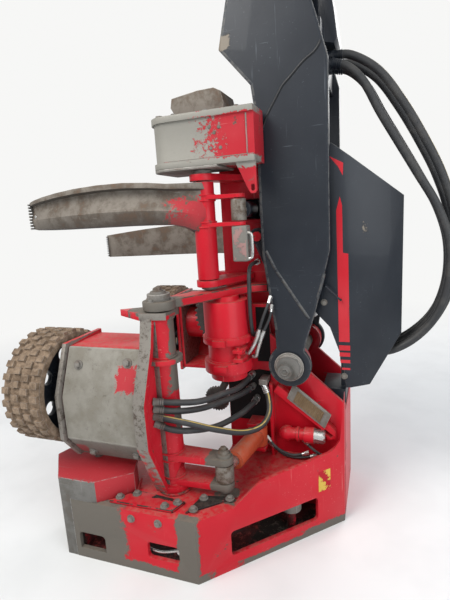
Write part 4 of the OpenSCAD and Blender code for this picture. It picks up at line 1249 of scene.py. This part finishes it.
@dataclass(frozen=True)
class DriveSide:
    """A drive arm with its motor cover, muddy wheel, cylinder and bolts, on one side."""

    side: int
    arm_x: float = -0.445
    arm_y: float = 0.620
    wheel_z: float = 0.780
    rim_x: float = -0.995
    tread_back_x: float = -0.935
    tread_width: float = 0.200
    groove_radius: float = 0.257
    strap_x: tuple[float, float] = (-0.507, -0.444)
    strap_y: float = 0.66
    strap_worn_z: float = 0.62
    flange_x: float = -0.860
    flange_y: float = 0.60
    pin_top_z: float = 1.235
    lever_long: float = 0.255
    # Radius and heights of the weld beads round the tube, and of those round the lever's sleeve.
    weld_rings: tuple[tuple[float, tuple[float, ...]], ...] = (
        (0.0585, (0.343, 0.954, 0.926, 1.127)), (0.058, (0.498, 0.462, 0.378, 0.342)),
    )
    # x, y and z of each bolt, and the y and z of its direction.
    cover_bolts: tuple[tuple[float, float, float, float, float], ...] = (
        (-0.810, 0.746, 0.931, 0.920, 0.391), (-0.560, 0.738, 0.950, 0.920, 0.391),
        (-0.795, 0.736, 0.504, 0.805, -0.594), (-0.550, 0.752, 0.526, 0.805, -0.594),
    )

    @property
    def label(self) -> str:
        """Returns near or far."""
        return LABELS[self.side]

    def build(self, head: Head) -> None:
        """Dresses the arm and adds its fittings."""
        label = self.label
        head.dress(f"drive_arm_{label}", head.palette.red, 0.005, self.mark_strap)
        head.dress(f"motor_cover_{label}", head.palette.cover, 0.007)
        head.dress(f"wheel_rim_{label}", head.palette.black, 0.005)
        head.dress(f"wheel_tread_{label}", head.palette.mud, 0.004)
        head.dress(f"arm_bracket_{label}", head.palette.red, 0.005)
        barrel = head.dress(f"arm_barrel_{label}", head.palette.orange, 0.003)
        head.dress(f"arm_rod_{label}", head.palette.chrome, 0.003, self.mark_eye)
        self.mud_ring(head)
        self.hub(head)
        self.bolts(head)
        self.welds(head)
        self.pin_top(head)

    def mark_strap(self, mesh: Mesh) -> None:
        """Marks the strap and the flange's rim as rubbed bare."""
        layer = face_layer(mesh, Face.BARE)
        for face in mesh.faces:
            middle = face.calc_center_median()
            outward = face.normal.y * self.side
            low, high = self.strap_x
            strap = low < middle.x < high and abs(middle.y) > self.strap_y and face.normal.x < 0.5
            if strap and outward > 0.2:
                face[layer] = 1.0 if middle.z > self.strap_worn_z else 0.76
            elif middle.x < self.flange_x and abs(middle.y) > self.flange_y:
                face[layer] = 1.0
            elif strap:
                face[layer] = 0.80

    def mark_eye(self, mesh: Mesh) -> None:
        """Marks the rod's eye as worn and dull."""
        layer = face_layer(mesh, Face.BARE)
        for face in mesh.faces:
            middle = face.calc_center_median()
            if math.hypot(middle.x - self.arm_x - self.lever_long, middle.y - self.side * self.arm_y) < 0.062:
                face[layer] = 1.0

    def mud_ring(self, head: Head) -> None:
        """Adds the lumpy mud between the lugs."""
        mesh = bmesh.new()
        low, high = self.tread_back_x - self.tread_width + 0.002, self.tread_back_x - 0.002
        steps = 12
        outer = [(low + (high - low) * i / steps, self.groove_radius) for i in range(steps + 1)]
        inner = [(high, self.groove_radius - 0.008), (low, self.groove_radius - 0.008)]
        centre = Vector((0.0, self.side * self.arm_y, self.wheel_z))
        verts = [mesh.verts.new(centre + Vector((x, 0, r))) for x, r in outer + inner]
        edges = [mesh.edges.new((verts[i], verts[(i + 1) % len(verts)])) for i in range(len(verts))]
        bmesh.ops.spin(
            mesh, geom=verts + edges, cent=centre, axis=(1, 0, 0), angle=math.tau, steps=150, use_merge=True,
            use_duplicate=False,
        )
        for vert in mesh.verts:
            out = vert.co - centre
            out.x = 0.0
            if out.length > self.groove_radius - 0.004 and low + 0.001 < vert.co.x < high - 0.001:
                lump = noise.fractal(vert.co * 38.0, 0.8, 2.2, 4)
                vert.co += out.normalized() * max(0.0, 0.004 + lump * 0.008)
        head.add(f"wheel_mud_{self.label}", mesh, head.palette.mud, f"drive_wheel_{self.label}", "muddy_tread")

    def hub(self, head: Head) -> None:
        """Adds the hub cap and the wheel's bolts on both faces of its disc."""
        mesh = bmesh.new()
        y, z = self.side * self.arm_y, self.wheel_z
        for face_x, way in ((self.rim_x, 1), (self.rim_x - 0.024, -1)):
            add_bolt_circle(mesh, (face_x, y, z), (way, 0, 0), 0.112, 12, 0.018, 15)
        boss = (self.rim_x - 0.034, y, z)
        add_disc(mesh, boss, (-1, 0, 0), 0.055, 0.012, 32, 0.9)
        add_bolt_circle(mesh, boss, (-1, 0, 0), 0.066, 6, 0.014)
        head.add(f"wheel_bolts_{self.label}", mesh, head.palette.black, f"drive_wheel_{self.label}", "worn_steel")

    def bolts(self, head: Head) -> None:
        """Adds the motor cover's bolts."""
        mesh = bmesh.new()
        for x, y, z, out, up in self.cover_bolts:
            add_bolt(mesh, (x, self.side * y, z), (0, self.side * out, up), 0.026)
        head.add(f"cover_bolts_{self.label}", mesh, head.palette.steel, f"drive_arm_{self.label}", "worn_steel")

    def welds(self, head: Head) -> None:
        """Adds the weld beads round the arm's tube."""
        mesh = bmesh.new()
        for radius, heights in self.weld_rings:
            for z in heights:
                add_ring(mesh, (self.arm_x, self.side * self.arm_y, z), UP, radius, 0.005, 44, 7)
        head.add(f"arm_welds_{self.label}", mesh, head.palette.red, f"drive_arm_{self.label}", "red_paint")

    def pin_top(self, head: Head) -> None:
        """Adds the keeper plate and the bolts on the arm's pin, and the cap of the lever's pin."""
        mesh = bmesh.new()
        x, y, top = self.arm_x, self.side * self.arm_y, self.pin_top_z
        add_disc(mesh, (x, y, top), UP, 0.036, 0.010, 32, 0.92)
        add_bolt(mesh, (x, y, top + 0.010), UP, 0.028)
        add_bolt_circle(mesh, (x, y, top - 0.030), UP, 0.056, 3, 0.016, 20)
        head.add(f"pin_top_{self.label}", mesh, head.palette.steel, "chassis", "worn_steel")
        pin = bmesh.new()
        lever_x = x + self.lever_long
        add_disc(pin, (lever_x, y, 0.511), UP, 0.024, 0.012, 28, 0.9)
        add_bolt(pin, (lever_x, y, 0.523), UP, 0.026)
        add_disc(pin, (lever_x, y, 0.329), DOWN, 0.022, 0.008, 28, 0.9)
        head.add(f"lever_pin_{self.label}", pin, head.palette.blade, f"drive_arm_{self.label}", "worn_steel")


@dataclass(frozen=True)
class Chassis:
    """Column, casting, ears and the fittings by the pivot."""

    pin: tuple[float, float] = (0.050, 0.810)
    pin_end_y: float = 0.310
    cap: tuple[float, float] = (0.038, 0.801)
    # Black sheets of painted shade on the column's sides.
    shade_sheet_y: float = 0.2003
    shade_sheet_outlines: tuple[Outline, ...] = (
        ((-0.296, 0.470), (-0.115, 0.470), (-0.066, 0.520), (-0.066, 0.748), (-0.125, 0.755), (-0.296, 0.715)),
        ((-0.130, 0.800), (-0.062, 0.800), (-0.062, 1.085), (-0.130, 1.085)),
    )
    panel_y: float = -0.2445
    panel_thick: float = 0.012
    panel: Outline = ((0.026, 0.630), (0.210, 0.486), (0.243, 0.561), (0.060, 0.708))
    insert_share: float = 0.70
    insert_ribs: int = 9
    elbow_y: float = -0.252
    # x, z, radius, height and the top's share of the radius.
    elbow_discs: tuple[tuple[float, ...], ...] = (
        (0.156, 0.440, 0.039, 0.006, 1.0), (0.162, 0.440, 0.036, 0.042, 0.97), (0.204, 0.438, 0.035, 0.008, 0.80),
    )
    casting: tuple[float, float] = (-0.246, -0.324)
    casting_beads: Outline = ((0.976, 0.111), (0.944, 0.099), (0.856, 0.099), (0.799, 0.093))
    line_radius: float = 0.007
    lines: tuple[Route, ...] = (
        ((-0.024, -0.300, 1.160), (-0.040, -0.325, 1.110), (-0.063, -0.335, 1.049), (-0.089, -0.335, 0.973)),
        ((-0.022, -0.296, 1.120), (-0.030, -0.315, 1.060), (-0.056, -0.325, 1.001), (-0.070, -0.328, 0.965)),
        ((-0.090, -0.238, 0.400), (-0.030, -0.262, 0.352), (0.050, -0.270, 0.330), (0.130, -0.255, 0.345)),
        ((-0.080, -0.232, 0.365), (0.000, -0.258, 0.322), (0.080, -0.262, 0.316), (0.170, -0.245, 0.330)),
        ((0.100, -0.232, 0.400), (0.150, -0.262, 0.372), (0.190, -0.260, 0.345), (0.215, -0.240, 0.326)),
    )
    sleeves: tuple[Route, ...] = (
        ((-0.082, -0.336, 0.992), (-0.094, -0.337, 0.958), (-0.113, -0.337, 0.920), (-0.140, -0.336, 0.884),
         (-0.160, -0.330, 0.890), (-0.176, -0.322, 0.899)),
        ((-0.065, -0.327, 0.985), (-0.078, -0.327, 0.945), (-0.092, -0.325, 0.905), (-0.104, -0.322, 0.868),
         (-0.122, -0.318, 0.866)),
    )
    drop_hose: Route = (
        (-0.118, -0.1525, 1.310), (-0.118, -0.200, 1.312), (-0.118, -0.296, 1.306), (-0.116, -0.334, 1.268),
        (-0.116, -0.342, 1.210), (-0.117, -0.342, 1.130), (-0.117, -0.338, 1.060), (-0.118, -0.315, 0.985),
        (-0.120, -0.262, 0.955), (-0.122, -0.206, 0.955),
    )

    def build(self, head: Head) -> None:
        """Dresses the chassis and adds its fittings."""
        red = ("chassis_frame", "column_top", "cylinder_ears", "cover_carrier", "motor_casting", "pipe_bracket",
               "limb_brackets")
        head.dress_all(red, head.palette.red, 0.005)
        head.dress("wheel_ears", head.palette.gloom, 0.005)
        head.dress("pipe_elbow", head.palette.red, 0.003)
        head.dress_all(("arm_hose_ports", "drive_arm_pins", "limb_pins", "hanger_pin"), head.palette.steel, 0.003)
        head.dress_all(("measuring_arm", "measuring_wheel", "frame_wheel"), head.palette.dark_steel, 0.003)
        self.pivot(head)
        self.painted_shade_sheets(head)
        self.ribbed_panel(head)
        self.elbow_cap(head)
        self.casting_details(head)
        self.small_lines(head)

    def pivot(self, head: Head) -> None:
        """Adds the hexagon socket cap on the hanger's pin and its bolts."""
        for side in (NEAR, FAR):
            mesh = bmesh.new()
            y = side * self.pin_end_y
            way = (0, side, 0)
            (pin_x, pin_z), (cap_x, cap_z) = self.pin, self.cap
            add_disc(mesh, (pin_x, y, pin_z), way, 0.058, 0.006, 40, 0.96)
            add_disc(mesh, (cap_x, y, cap_z), way, 0.035, 0.034, 32, 0.93)
            add_ring(mesh, (cap_x, y + side * 0.034, cap_z), way, 0.018, 0.006, 6, 6)
            add_bolt_circle(mesh, (pin_x, side * 0.305, pin_z), way, 0.0525, 4, 0.012, 45)
            head.add(f"pivot_cap_{LABELS[side]}", mesh, head.palette.toe, "chassis", "worn_steel")

    def painted_shade_sheets(self, head: Head) -> None:
        """Adds black sheets of painted shade on the column beside the casting and behind the arm's hoses."""
        mesh = bmesh.new()
        for side in (NEAR, FAR):
            for outline in self.shade_sheet_outlines:
                add_plate(mesh, [(x, side * self.shade_sheet_y, z) for x, z in outline], (0, side * 0.003, 0))
        # Painted shade where the column's sides lie in shadow.
        head.add("column_painted_shade", mesh, head.palette.gloom, "chassis", "black_paint")

    def ribbed_panel(self, head: Head) -> None:
        """Adds the steel frame with its brown ribbed insert over the slanted link."""
        corners = [Vector((x, self.panel_y, z)) for x, z in self.panel]
        rim = bmesh.new()
        add_plate(rim, corners, (0, -self.panel_thick, 0))
        soften(rim, 0.002)
        head.add("link_panel", rim, head.palette.steel, "chassis", "worn_steel")
        middle = sum(corners, Vector()) / 4 + Vector((0, -0.0125, 0))
        inner = [middle + (c - (middle + Vector((0, 0.0125, 0)))) * self.insert_share for c in corners]
        insert = bmesh.new()
        add_plate(insert, inner, (0, -0.004, 0))
        drop = Vector((0, -0.005, 0))
        for k in range(self.insert_ribs):
            share = (k + 0.5) / self.insert_ribs
            low, high = inner[0].lerp(inner[1], share), inner[3].lerp(inner[2], share)
            add_tube(insert, [low + drop, low.lerp(high, 0.5) + drop, high + drop], 0.004, 8)
        head.add("link_insert", insert, head.palette.brass, "chassis", "worn_steel")

    def elbow_cap(self, head: Head) -> None:
        """Adds the silver cap on the elbow."""
        mesh = bmesh.new()
        for x, z, radius, height, top in self.elbow_discs:
            add_disc(mesh, (x, self.elbow_y, z), (1, 0, -0.05), radius, height, 30, top)
        head.add("elbow_cap", mesh, head.palette.zinc, "chassis", "worn_steel")

    def casting_details(self, head: Head) -> None:
        """Adds the cap and the weld beads on the round casting."""
        x, y = self.casting
        cap = bmesh.new()
        add_disc(cap, (x, y, 1.150), UP, 0.070, 0.020, 40, 0.94)
        head.add("casting_cap", cap, head.palette.red, "chassis", "red_paint")
        beads = bmesh.new()
        for z, radius in self.casting_beads:
            add_ring(beads, (x, y, z), UP, radius, 0.005, 56, 7)
        head.add("casting_beads", beads, head.palette.red, "chassis", "red_paint")

    def small_lines(self, head: Head) -> None:
        """Adds the short hard lines and their fittings beside the casting and under the pivot."""
        pipes = bmesh.new()
        ends = bmesh.new()
        for run in self.sleeves:
            add_tube(ends, curve_through(run, 4), 0.010, 14)
        for run in self.lines:
            path = curve_through(run, 6)
            add_tube(pipes, path, self.line_radius, 10)
            for end, ahead in ((path[0], path[1]), (path[-1], path[-2])):
                add_disc(ends, end, tuple(ahead - end), 0.011, 0.022, 6)
                add_disc(ends, end + (ahead - end).normalized() * 0.022, tuple(ahead - end), 0.009, 0.014, 16)
        add_tube(pipes, curve_through(self.drop_hose, 6), 0.0095, 14)
        for x, y, z in (self.drop_hose[0], self.drop_hose[-1]):
            add_disc(ends, (x, y, z), (0, -1, 0), 0.016, 0.020, 6)
            add_disc(ends, (x, y - 0.020, z), (0, -1, 0), 0.0125, 0.022, 18)
        head.add("short_lines", pipes, head.palette.hose, "chassis", "hose_rubber")
        head.add("line_fittings", ends, head.palette.zinc, "chassis", "worn_steel")


@dataclass(frozen=True)
class Hanger:
    """Dark hanger over the pivot, with the tilt cylinders."""

    face_y: float = 0.280
    band: float = 0.013
    log_side_x: float = -0.03
    groove: Outline = (
        (0.223, 2.229), (0.200, 2.195), (0.150, 2.162), (0.093, 2.110), (0.058, 2.078), (0.025, 2.028),
        (-0.013, 1.969), (-0.039, 1.910),
    )
    left_crease: Outline = (
        (-0.043, 1.373), (0.001, 1.282), (0.050, 1.205), (0.098, 1.129), (0.150, 1.050),
    )
    # A light line along the plate's right edge: painted highlight.
    right_edge_highlight: Outline = ((0.222, 1.262), (0.206, 1.200), (0.190, 1.146))
    # Height, radius and number of the bolts under the rotator's plate.
    bolt_z: float = 2.598
    bolt_radius: float = 0.140
    bolt_count: int = 12

    def build(self, head: Head) -> None:
        """Dresses the hanger and adds its ribs and bolts."""
        head.dress("hanger_plates", head.palette.black, 0.004, self.mark_band)
        head.dress_all(("hanger_box", "rotator_plate"), head.palette.black, 0.004)
        head.dress("tilt_barrels", head.palette.black, 0.003)
        head.dress("tilt_rods", head.palette.chrome, 0.003)
        for side in (NEAR, FAR):
            self.ribs(head, side)
        self.rotator_bolts(head)

    def mark_band(self, mesh: Mesh) -> None:
        """Marks a band along the plates' outer edges as worn, most on the log's side, where the light band is also a
        painted highlight on the plate's rim.
        """
        layer = face_layer(mesh, Face.EDGE)
        least_y = self.face_y - 0.001
        outer = [f for f in mesh.faces if abs(f.normal.y) > 0.99 and abs(f.calc_center_median().y) > least_y]
        made = bmesh.ops.inset_region(mesh, faces=outer, thickness=self.band, use_even_offset=True, use_boundary=True)
        for face in made["faces"]:
            # On the log's side the full band is wear and a painted highlight.
            face[layer] = 1.0 if face.calc_center_median().x < self.log_side_x else 0.45

    def ribs(self, head: Head, side: int) -> None:
        """Adds the pressed groove's bead in darker black as painted shade, and two light lines above the pivot: the
        left crease and a painted highlight along the plate's right edge.
        """
        label = LABELS[side]
        y = side * (self.face_y - 0.004)
        groove = bmesh.new()
        add_tube(groove, curve_through([(x, y, z) for x, z in self.groove], 5), 0.0075, 12)
        # The groove's bead is darker than the plate: painted shade.
        head.add(f"hanger_groove_{label}", groove, head.palette.groove_shade, "hanger", "black_paint")
        mesh = bmesh.new()
        for line, radius in ((self.left_crease, 0.0085), (self.right_edge_highlight, 0.0075)):
            add_tube(mesh, curve_through([(x, y, z) for x, z in line], 5), radius, 12)
        # All faces of these lines are marked as edges, so they show light; along the plate's right edge that light is
        # a painted highlight.
        layer = face_layer(mesh, Face.EDGE)
        for face in mesh.faces:
            face[layer] = 1.0
        head.add(f"hanger_ribs_{label}", mesh, head.palette.black, "hanger", "black_paint")

    def rotator_bolts(self, head: Head) -> None:
        """Adds the bolts through the rotator's plate."""
        mesh = bmesh.new()
        add_bolt_circle(mesh, (0.0, 0.0, self.bolt_z), DOWN, self.bolt_radius, self.bolt_count, 0.020)
        head.add("rotator_bolts", mesh, head.palette.steel, "hanger", "worn_steel")


@dataclass(frozen=True)
class TopBox:
    """Topping saw box with its knife, lip bolts, rivets and welds."""

    face_y: float = -0.450
    rivets: Outline = (
        (-0.225, 1.918), (-0.182, 1.914), (-0.204, 1.893), (-0.222, 1.832), (-0.179, 1.831),
    )
    top_z: float = 1.985
    seam_x: float = -0.062

    def build(self, head: Head) -> None:
        """Dresses the box and adds its fittings."""
        head.dress("top_saw_box", head.palette.box, 0.005)
        head.dress("top_saw_nose", head.palette.steel, 0.004)
        head.dress("top_knife", head.palette.blade, 0.008)
        head.dress("top_bar", head.palette.steel, 0.002)
        rivets = bmesh.new()
        for x, z in self.rivets:
            add_disc(rivets, (x, self.face_y, z), (0, -1, 0), 0.008, 0.004, 16, 0.7)
        for x in (-0.40, -0.25, -0.11):
            add_bolt(rivets, (x, -0.42, self.top_z), UP, 0.020)
        add_disc(rivets, (-0.490, -0.380, self.top_z), UP, 0.020, 0.020, 20, 0.8)
        head.add("top_box_bolts", rivets, head.palette.steel, "chassis", "worn_steel")
        seam = bmesh.new()
        y = self.face_y - 0.001
        add_tube(seam, lumpy_line((self.seam_x, y, 1.795), (self.seam_x, y, 1.955), 0.01, 0.001), 0.0035, 6)
        for start, end in ((-0.45, -0.20), (-0.20, -0.035)):
            add_tube(seam, lumpy_line((start, y, 1.792), (end, y, 1.792), 0.01, 0.001), 0.004, 6)
        foot = lumpy_line((-0.452, -0.303, 1.988), (-0.210, -0.303, 1.988), 0.012, 0.002)
        add_tube(seam, foot, 0.007, 7)
        head.add("top_box_welds", seam, head.palette.pale, "chassis", "red_paint")


@dataclass(frozen=True)
class Blades:
    """Delimbing arms with their toothed tips, levers and cylinders."""

    axis_x: float = -0.300
    axis_y: float = 0.380
    lever_long: float = 0.165
    # Height of each blade's middle at its tip.
    tips: tuple[tuple[int, float], ...] = ((NEAR, 1.592), (FAR, 1.375))
    tooth_y: float = 0.302
    tooth_long: float = 0.066
    tooth_in: float = 0.0145
    tooth_radius: float = 0.0052
    tooth_count: int = 9
    row_low: float = 0.062
    row_high: float = 0.080
    block: Outline = ((-0.165, 0.352), (-0.092, 0.352), (-0.092, 0.412), (-0.165, 0.412))
    block_top_z: float = 1.4995
    block_tall: float = 0.160
    pipe_y: float = 0.400
    pipe: Outline = (
        (-0.093, 1.468), (-0.078, 1.462), (-0.074, 1.440), (-0.074, 1.380), (-0.078, 1.358), (-0.093, 1.352),
    )

    def build(self, head: Head) -> None:
        """Dresses both arms and adds their teeth."""
        for side, middle_z in self.tips:
            label = LABELS[side]
            head.dress(f"limb_arm_{label}", head.palette.blade, 0.004)
            head.dress(f"limb_lever_{label}", head.palette.red, 0.004)
            head.dress(f"limb_barrel_{label}", head.palette.black, 0.003)
            head.dress(f"limb_rod_{label}", head.palette.chrome, 0.003, self.mark_eye)
            self.teeth(head, side, label, middle_z)
            self.tube_rings(head, side, label)
            self.lever_block(head, side, label)

    def mark_eye(self, mesh: Mesh) -> None:
        """Marks the rod's eye as worn and dull."""
        layer = face_layer(mesh, Face.BARE)
        for face in mesh.faces:
            middle = face.calc_center_median()
            if math.hypot(middle.x - self.axis_x - self.lever_long, abs(middle.y) - self.axis_y) < 0.050:
                face[layer] = 1.0

    def teeth(self, head: Head, side: int, label: str, middle_z: float) -> None:
        """Adds the row of teeth across the blade's tip and the bolt beside it."""
        mesh = bmesh.new()
        tip_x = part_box(f"limb_arm_{label}")[0][0]
        low, high = middle_z - self.row_low, middle_z + self.row_high
        pitch = (high - low) / self.tooth_count
        for k in range(self.tooth_count):
            foot = (tip_x + self.tooth_in, side * self.tooth_y, low + pitch * (k + 0.5))
            add_disc(mesh, foot, (-0.14, side, 0), self.tooth_radius, self.tooth_long, 4)
        add_bolt(mesh, (tip_x + 0.060, side * 0.366, middle_z + 0.004), (-0.33, side * 0.94, 0), 0.020)
        head.add(f"blade_teeth_{label}", mesh, head.palette.zinc, f"limb_{label}", "worn_steel")

    def lever_block(self, head: Head, side: int, label: str) -> None:
        """Adds the worn block that hangs under the lever's end, with its short pipe."""
        block = bmesh.new()
        add_plate(block, [(x, side * y, self.block_top_z) for x, y in self.block], (0, 0, -self.block_tall))
        soften(block, 0.008, 3)
        head.add(f"lever_block_{label}", block, head.palette.pale, f"limb_{label}", "red_paint")
        pipe = bmesh.new()
        add_tube(pipe, curve_through([(x, side * self.pipe_y, z) for x, z in self.pipe], 5), 0.007, 12)
        head.add(f"lever_pipe_{label}", pipe, head.palette.zinc, f"limb_{label}", "worn_steel")

    def tube_rings(self, head: Head, side: int, label: str) -> None:
        """Adds the weld beads round the arm's tube and its pin's bolt."""
        mesh = bmesh.new()
        x, y = self.axis_x, side * self.axis_y
        for z in (1.500, 1.522, 1.618, 1.642):
            add_ring(mesh, (x, y, z), UP, 0.052, 0.0045, 40, 7)
        head.add(f"limb_beads_{label}", mesh, head.palette.red, f"limb_{label}", "red_paint")
        pin = bmesh.new()
        add_bolt(pin, (x, y, 1.750), UP, 0.026)
        add_disc(pin, (x, y, 1.225), DOWN, 0.040, 0.012, 32, 0.9)
        add_bolt(pin, (x, y, 1.213), DOWN, 0.024)
        head.add(f"limb_pin_bolt_{label}", pin, head.palette.steel, "chassis", "worn_steel")


@dataclass(frozen=True)
class BackCover:
    """Dark valve cover with its red stripe and bars, and the valve bank behind it."""

    face_y: float = 0.235
    thick: float = 0.0006
    stripe: Outline = (
        (0.2816, 0.930), (0.3297, 0.930), (0.3255, 1.345), (0.302, 1.350), (0.300, 1.560), (0.290, 1.600),
        (0.2745, 1.540),
    )
    # Front edge, bottom and top of each bar.
    bars: tuple[tuple[float, float, float], ...] = (
        (0.2816, 0.888, 0.913), (0.283, 0.858, 0.878), (0.287, 0.826, 0.842), (0.294, 0.792, 0.802),
    )
    bar_end_x: float = 0.332
    # x, distance from the cover and z of the wire handle's stops.
    handle: Route = (
        (0.224, 0.0, 1.205), (0.226, 0.024, 1.200), (0.258, 0.024, 1.168), (0.290, 0.024, 1.138), (0.292, 0.0, 1.133),
    )
    side_bolts: Outline = ((0.215, 1.60), (0.215, 1.12), (0.305, 0.76))
    wedge: Outline = ((0.246, 1.775), (0.306, 1.742), (0.304, 1.688), (0.284, 1.728))

    def build(self, head: Head) -> None:
        """Dresses the cover and adds its stripe, handle and bolts."""
        head.dress("valve_cover", head.palette.black, 0.002)
        head.dress("valve_block", head.palette.black, 0.004)
        for side in (NEAR, FAR):
            self.stripes(head, side)
        self.fittings(head)

    def stripes(self, head: Head, side: int) -> None:
        """Adds the plain stripes on one face of the cover."""
        mesh = bmesh.new()
        y = side * (self.face_y + 0.0001)
        shapes = [self.stripe, self.wedge]
        shapes += [((x, low), (self.bar_end_x, low), (self.bar_end_x, high), (x, high)) for x, low, high in self.bars]
        for shape in shapes:
            add_plate(mesh, [(x, y, z) for x, z in shape], (0, side * self.thick, 0))
        head.add(f"cover_stripes_{LABELS[side]}", mesh, head.palette.decal, "chassis", "red_paint")

    def fittings(self, head: Head) -> None:
        """Adds the wire handles and the cover's bolts."""
        wire = bmesh.new()
        bolts = bmesh.new()
        for side in (NEAR, FAR):
            y = side * self.face_y
            route = [(x, y + side * out, z) for x, out, z in self.handle]
            add_tube(wire, curve_through(route, 5), 0.0045, 8)
            for x, z in self.side_bolts:
                add_bolt(bolts, (x, y, z), (0, side, 0), 0.018)
        head.add("cover_handles", wire, head.palette.black, "chassis", "black_paint")
        head.add("cover_side_bolts", bolts, head.palette.steel, "chassis", "worn_steel")


def main() -> None:
    """Builds the studio and the head."""
    logging.basicConfig(level=logging.INFO, format="%(message)s")
    bpy.context.scene.view_settings.view_transform = "Standard"
    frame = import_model()
    Studio().build()
    head = Head(frame, Palette())
    Hoses().build(head)
    for part in (Base(), DriveSide(NEAR), DriveSide(FAR), Chassis(), Hanger(), TopBox(), Blades(), BackCover()):
        part.build(head)
    LOG.info("%d pieces", head.count)


if __name__ == "__main__":
    main()
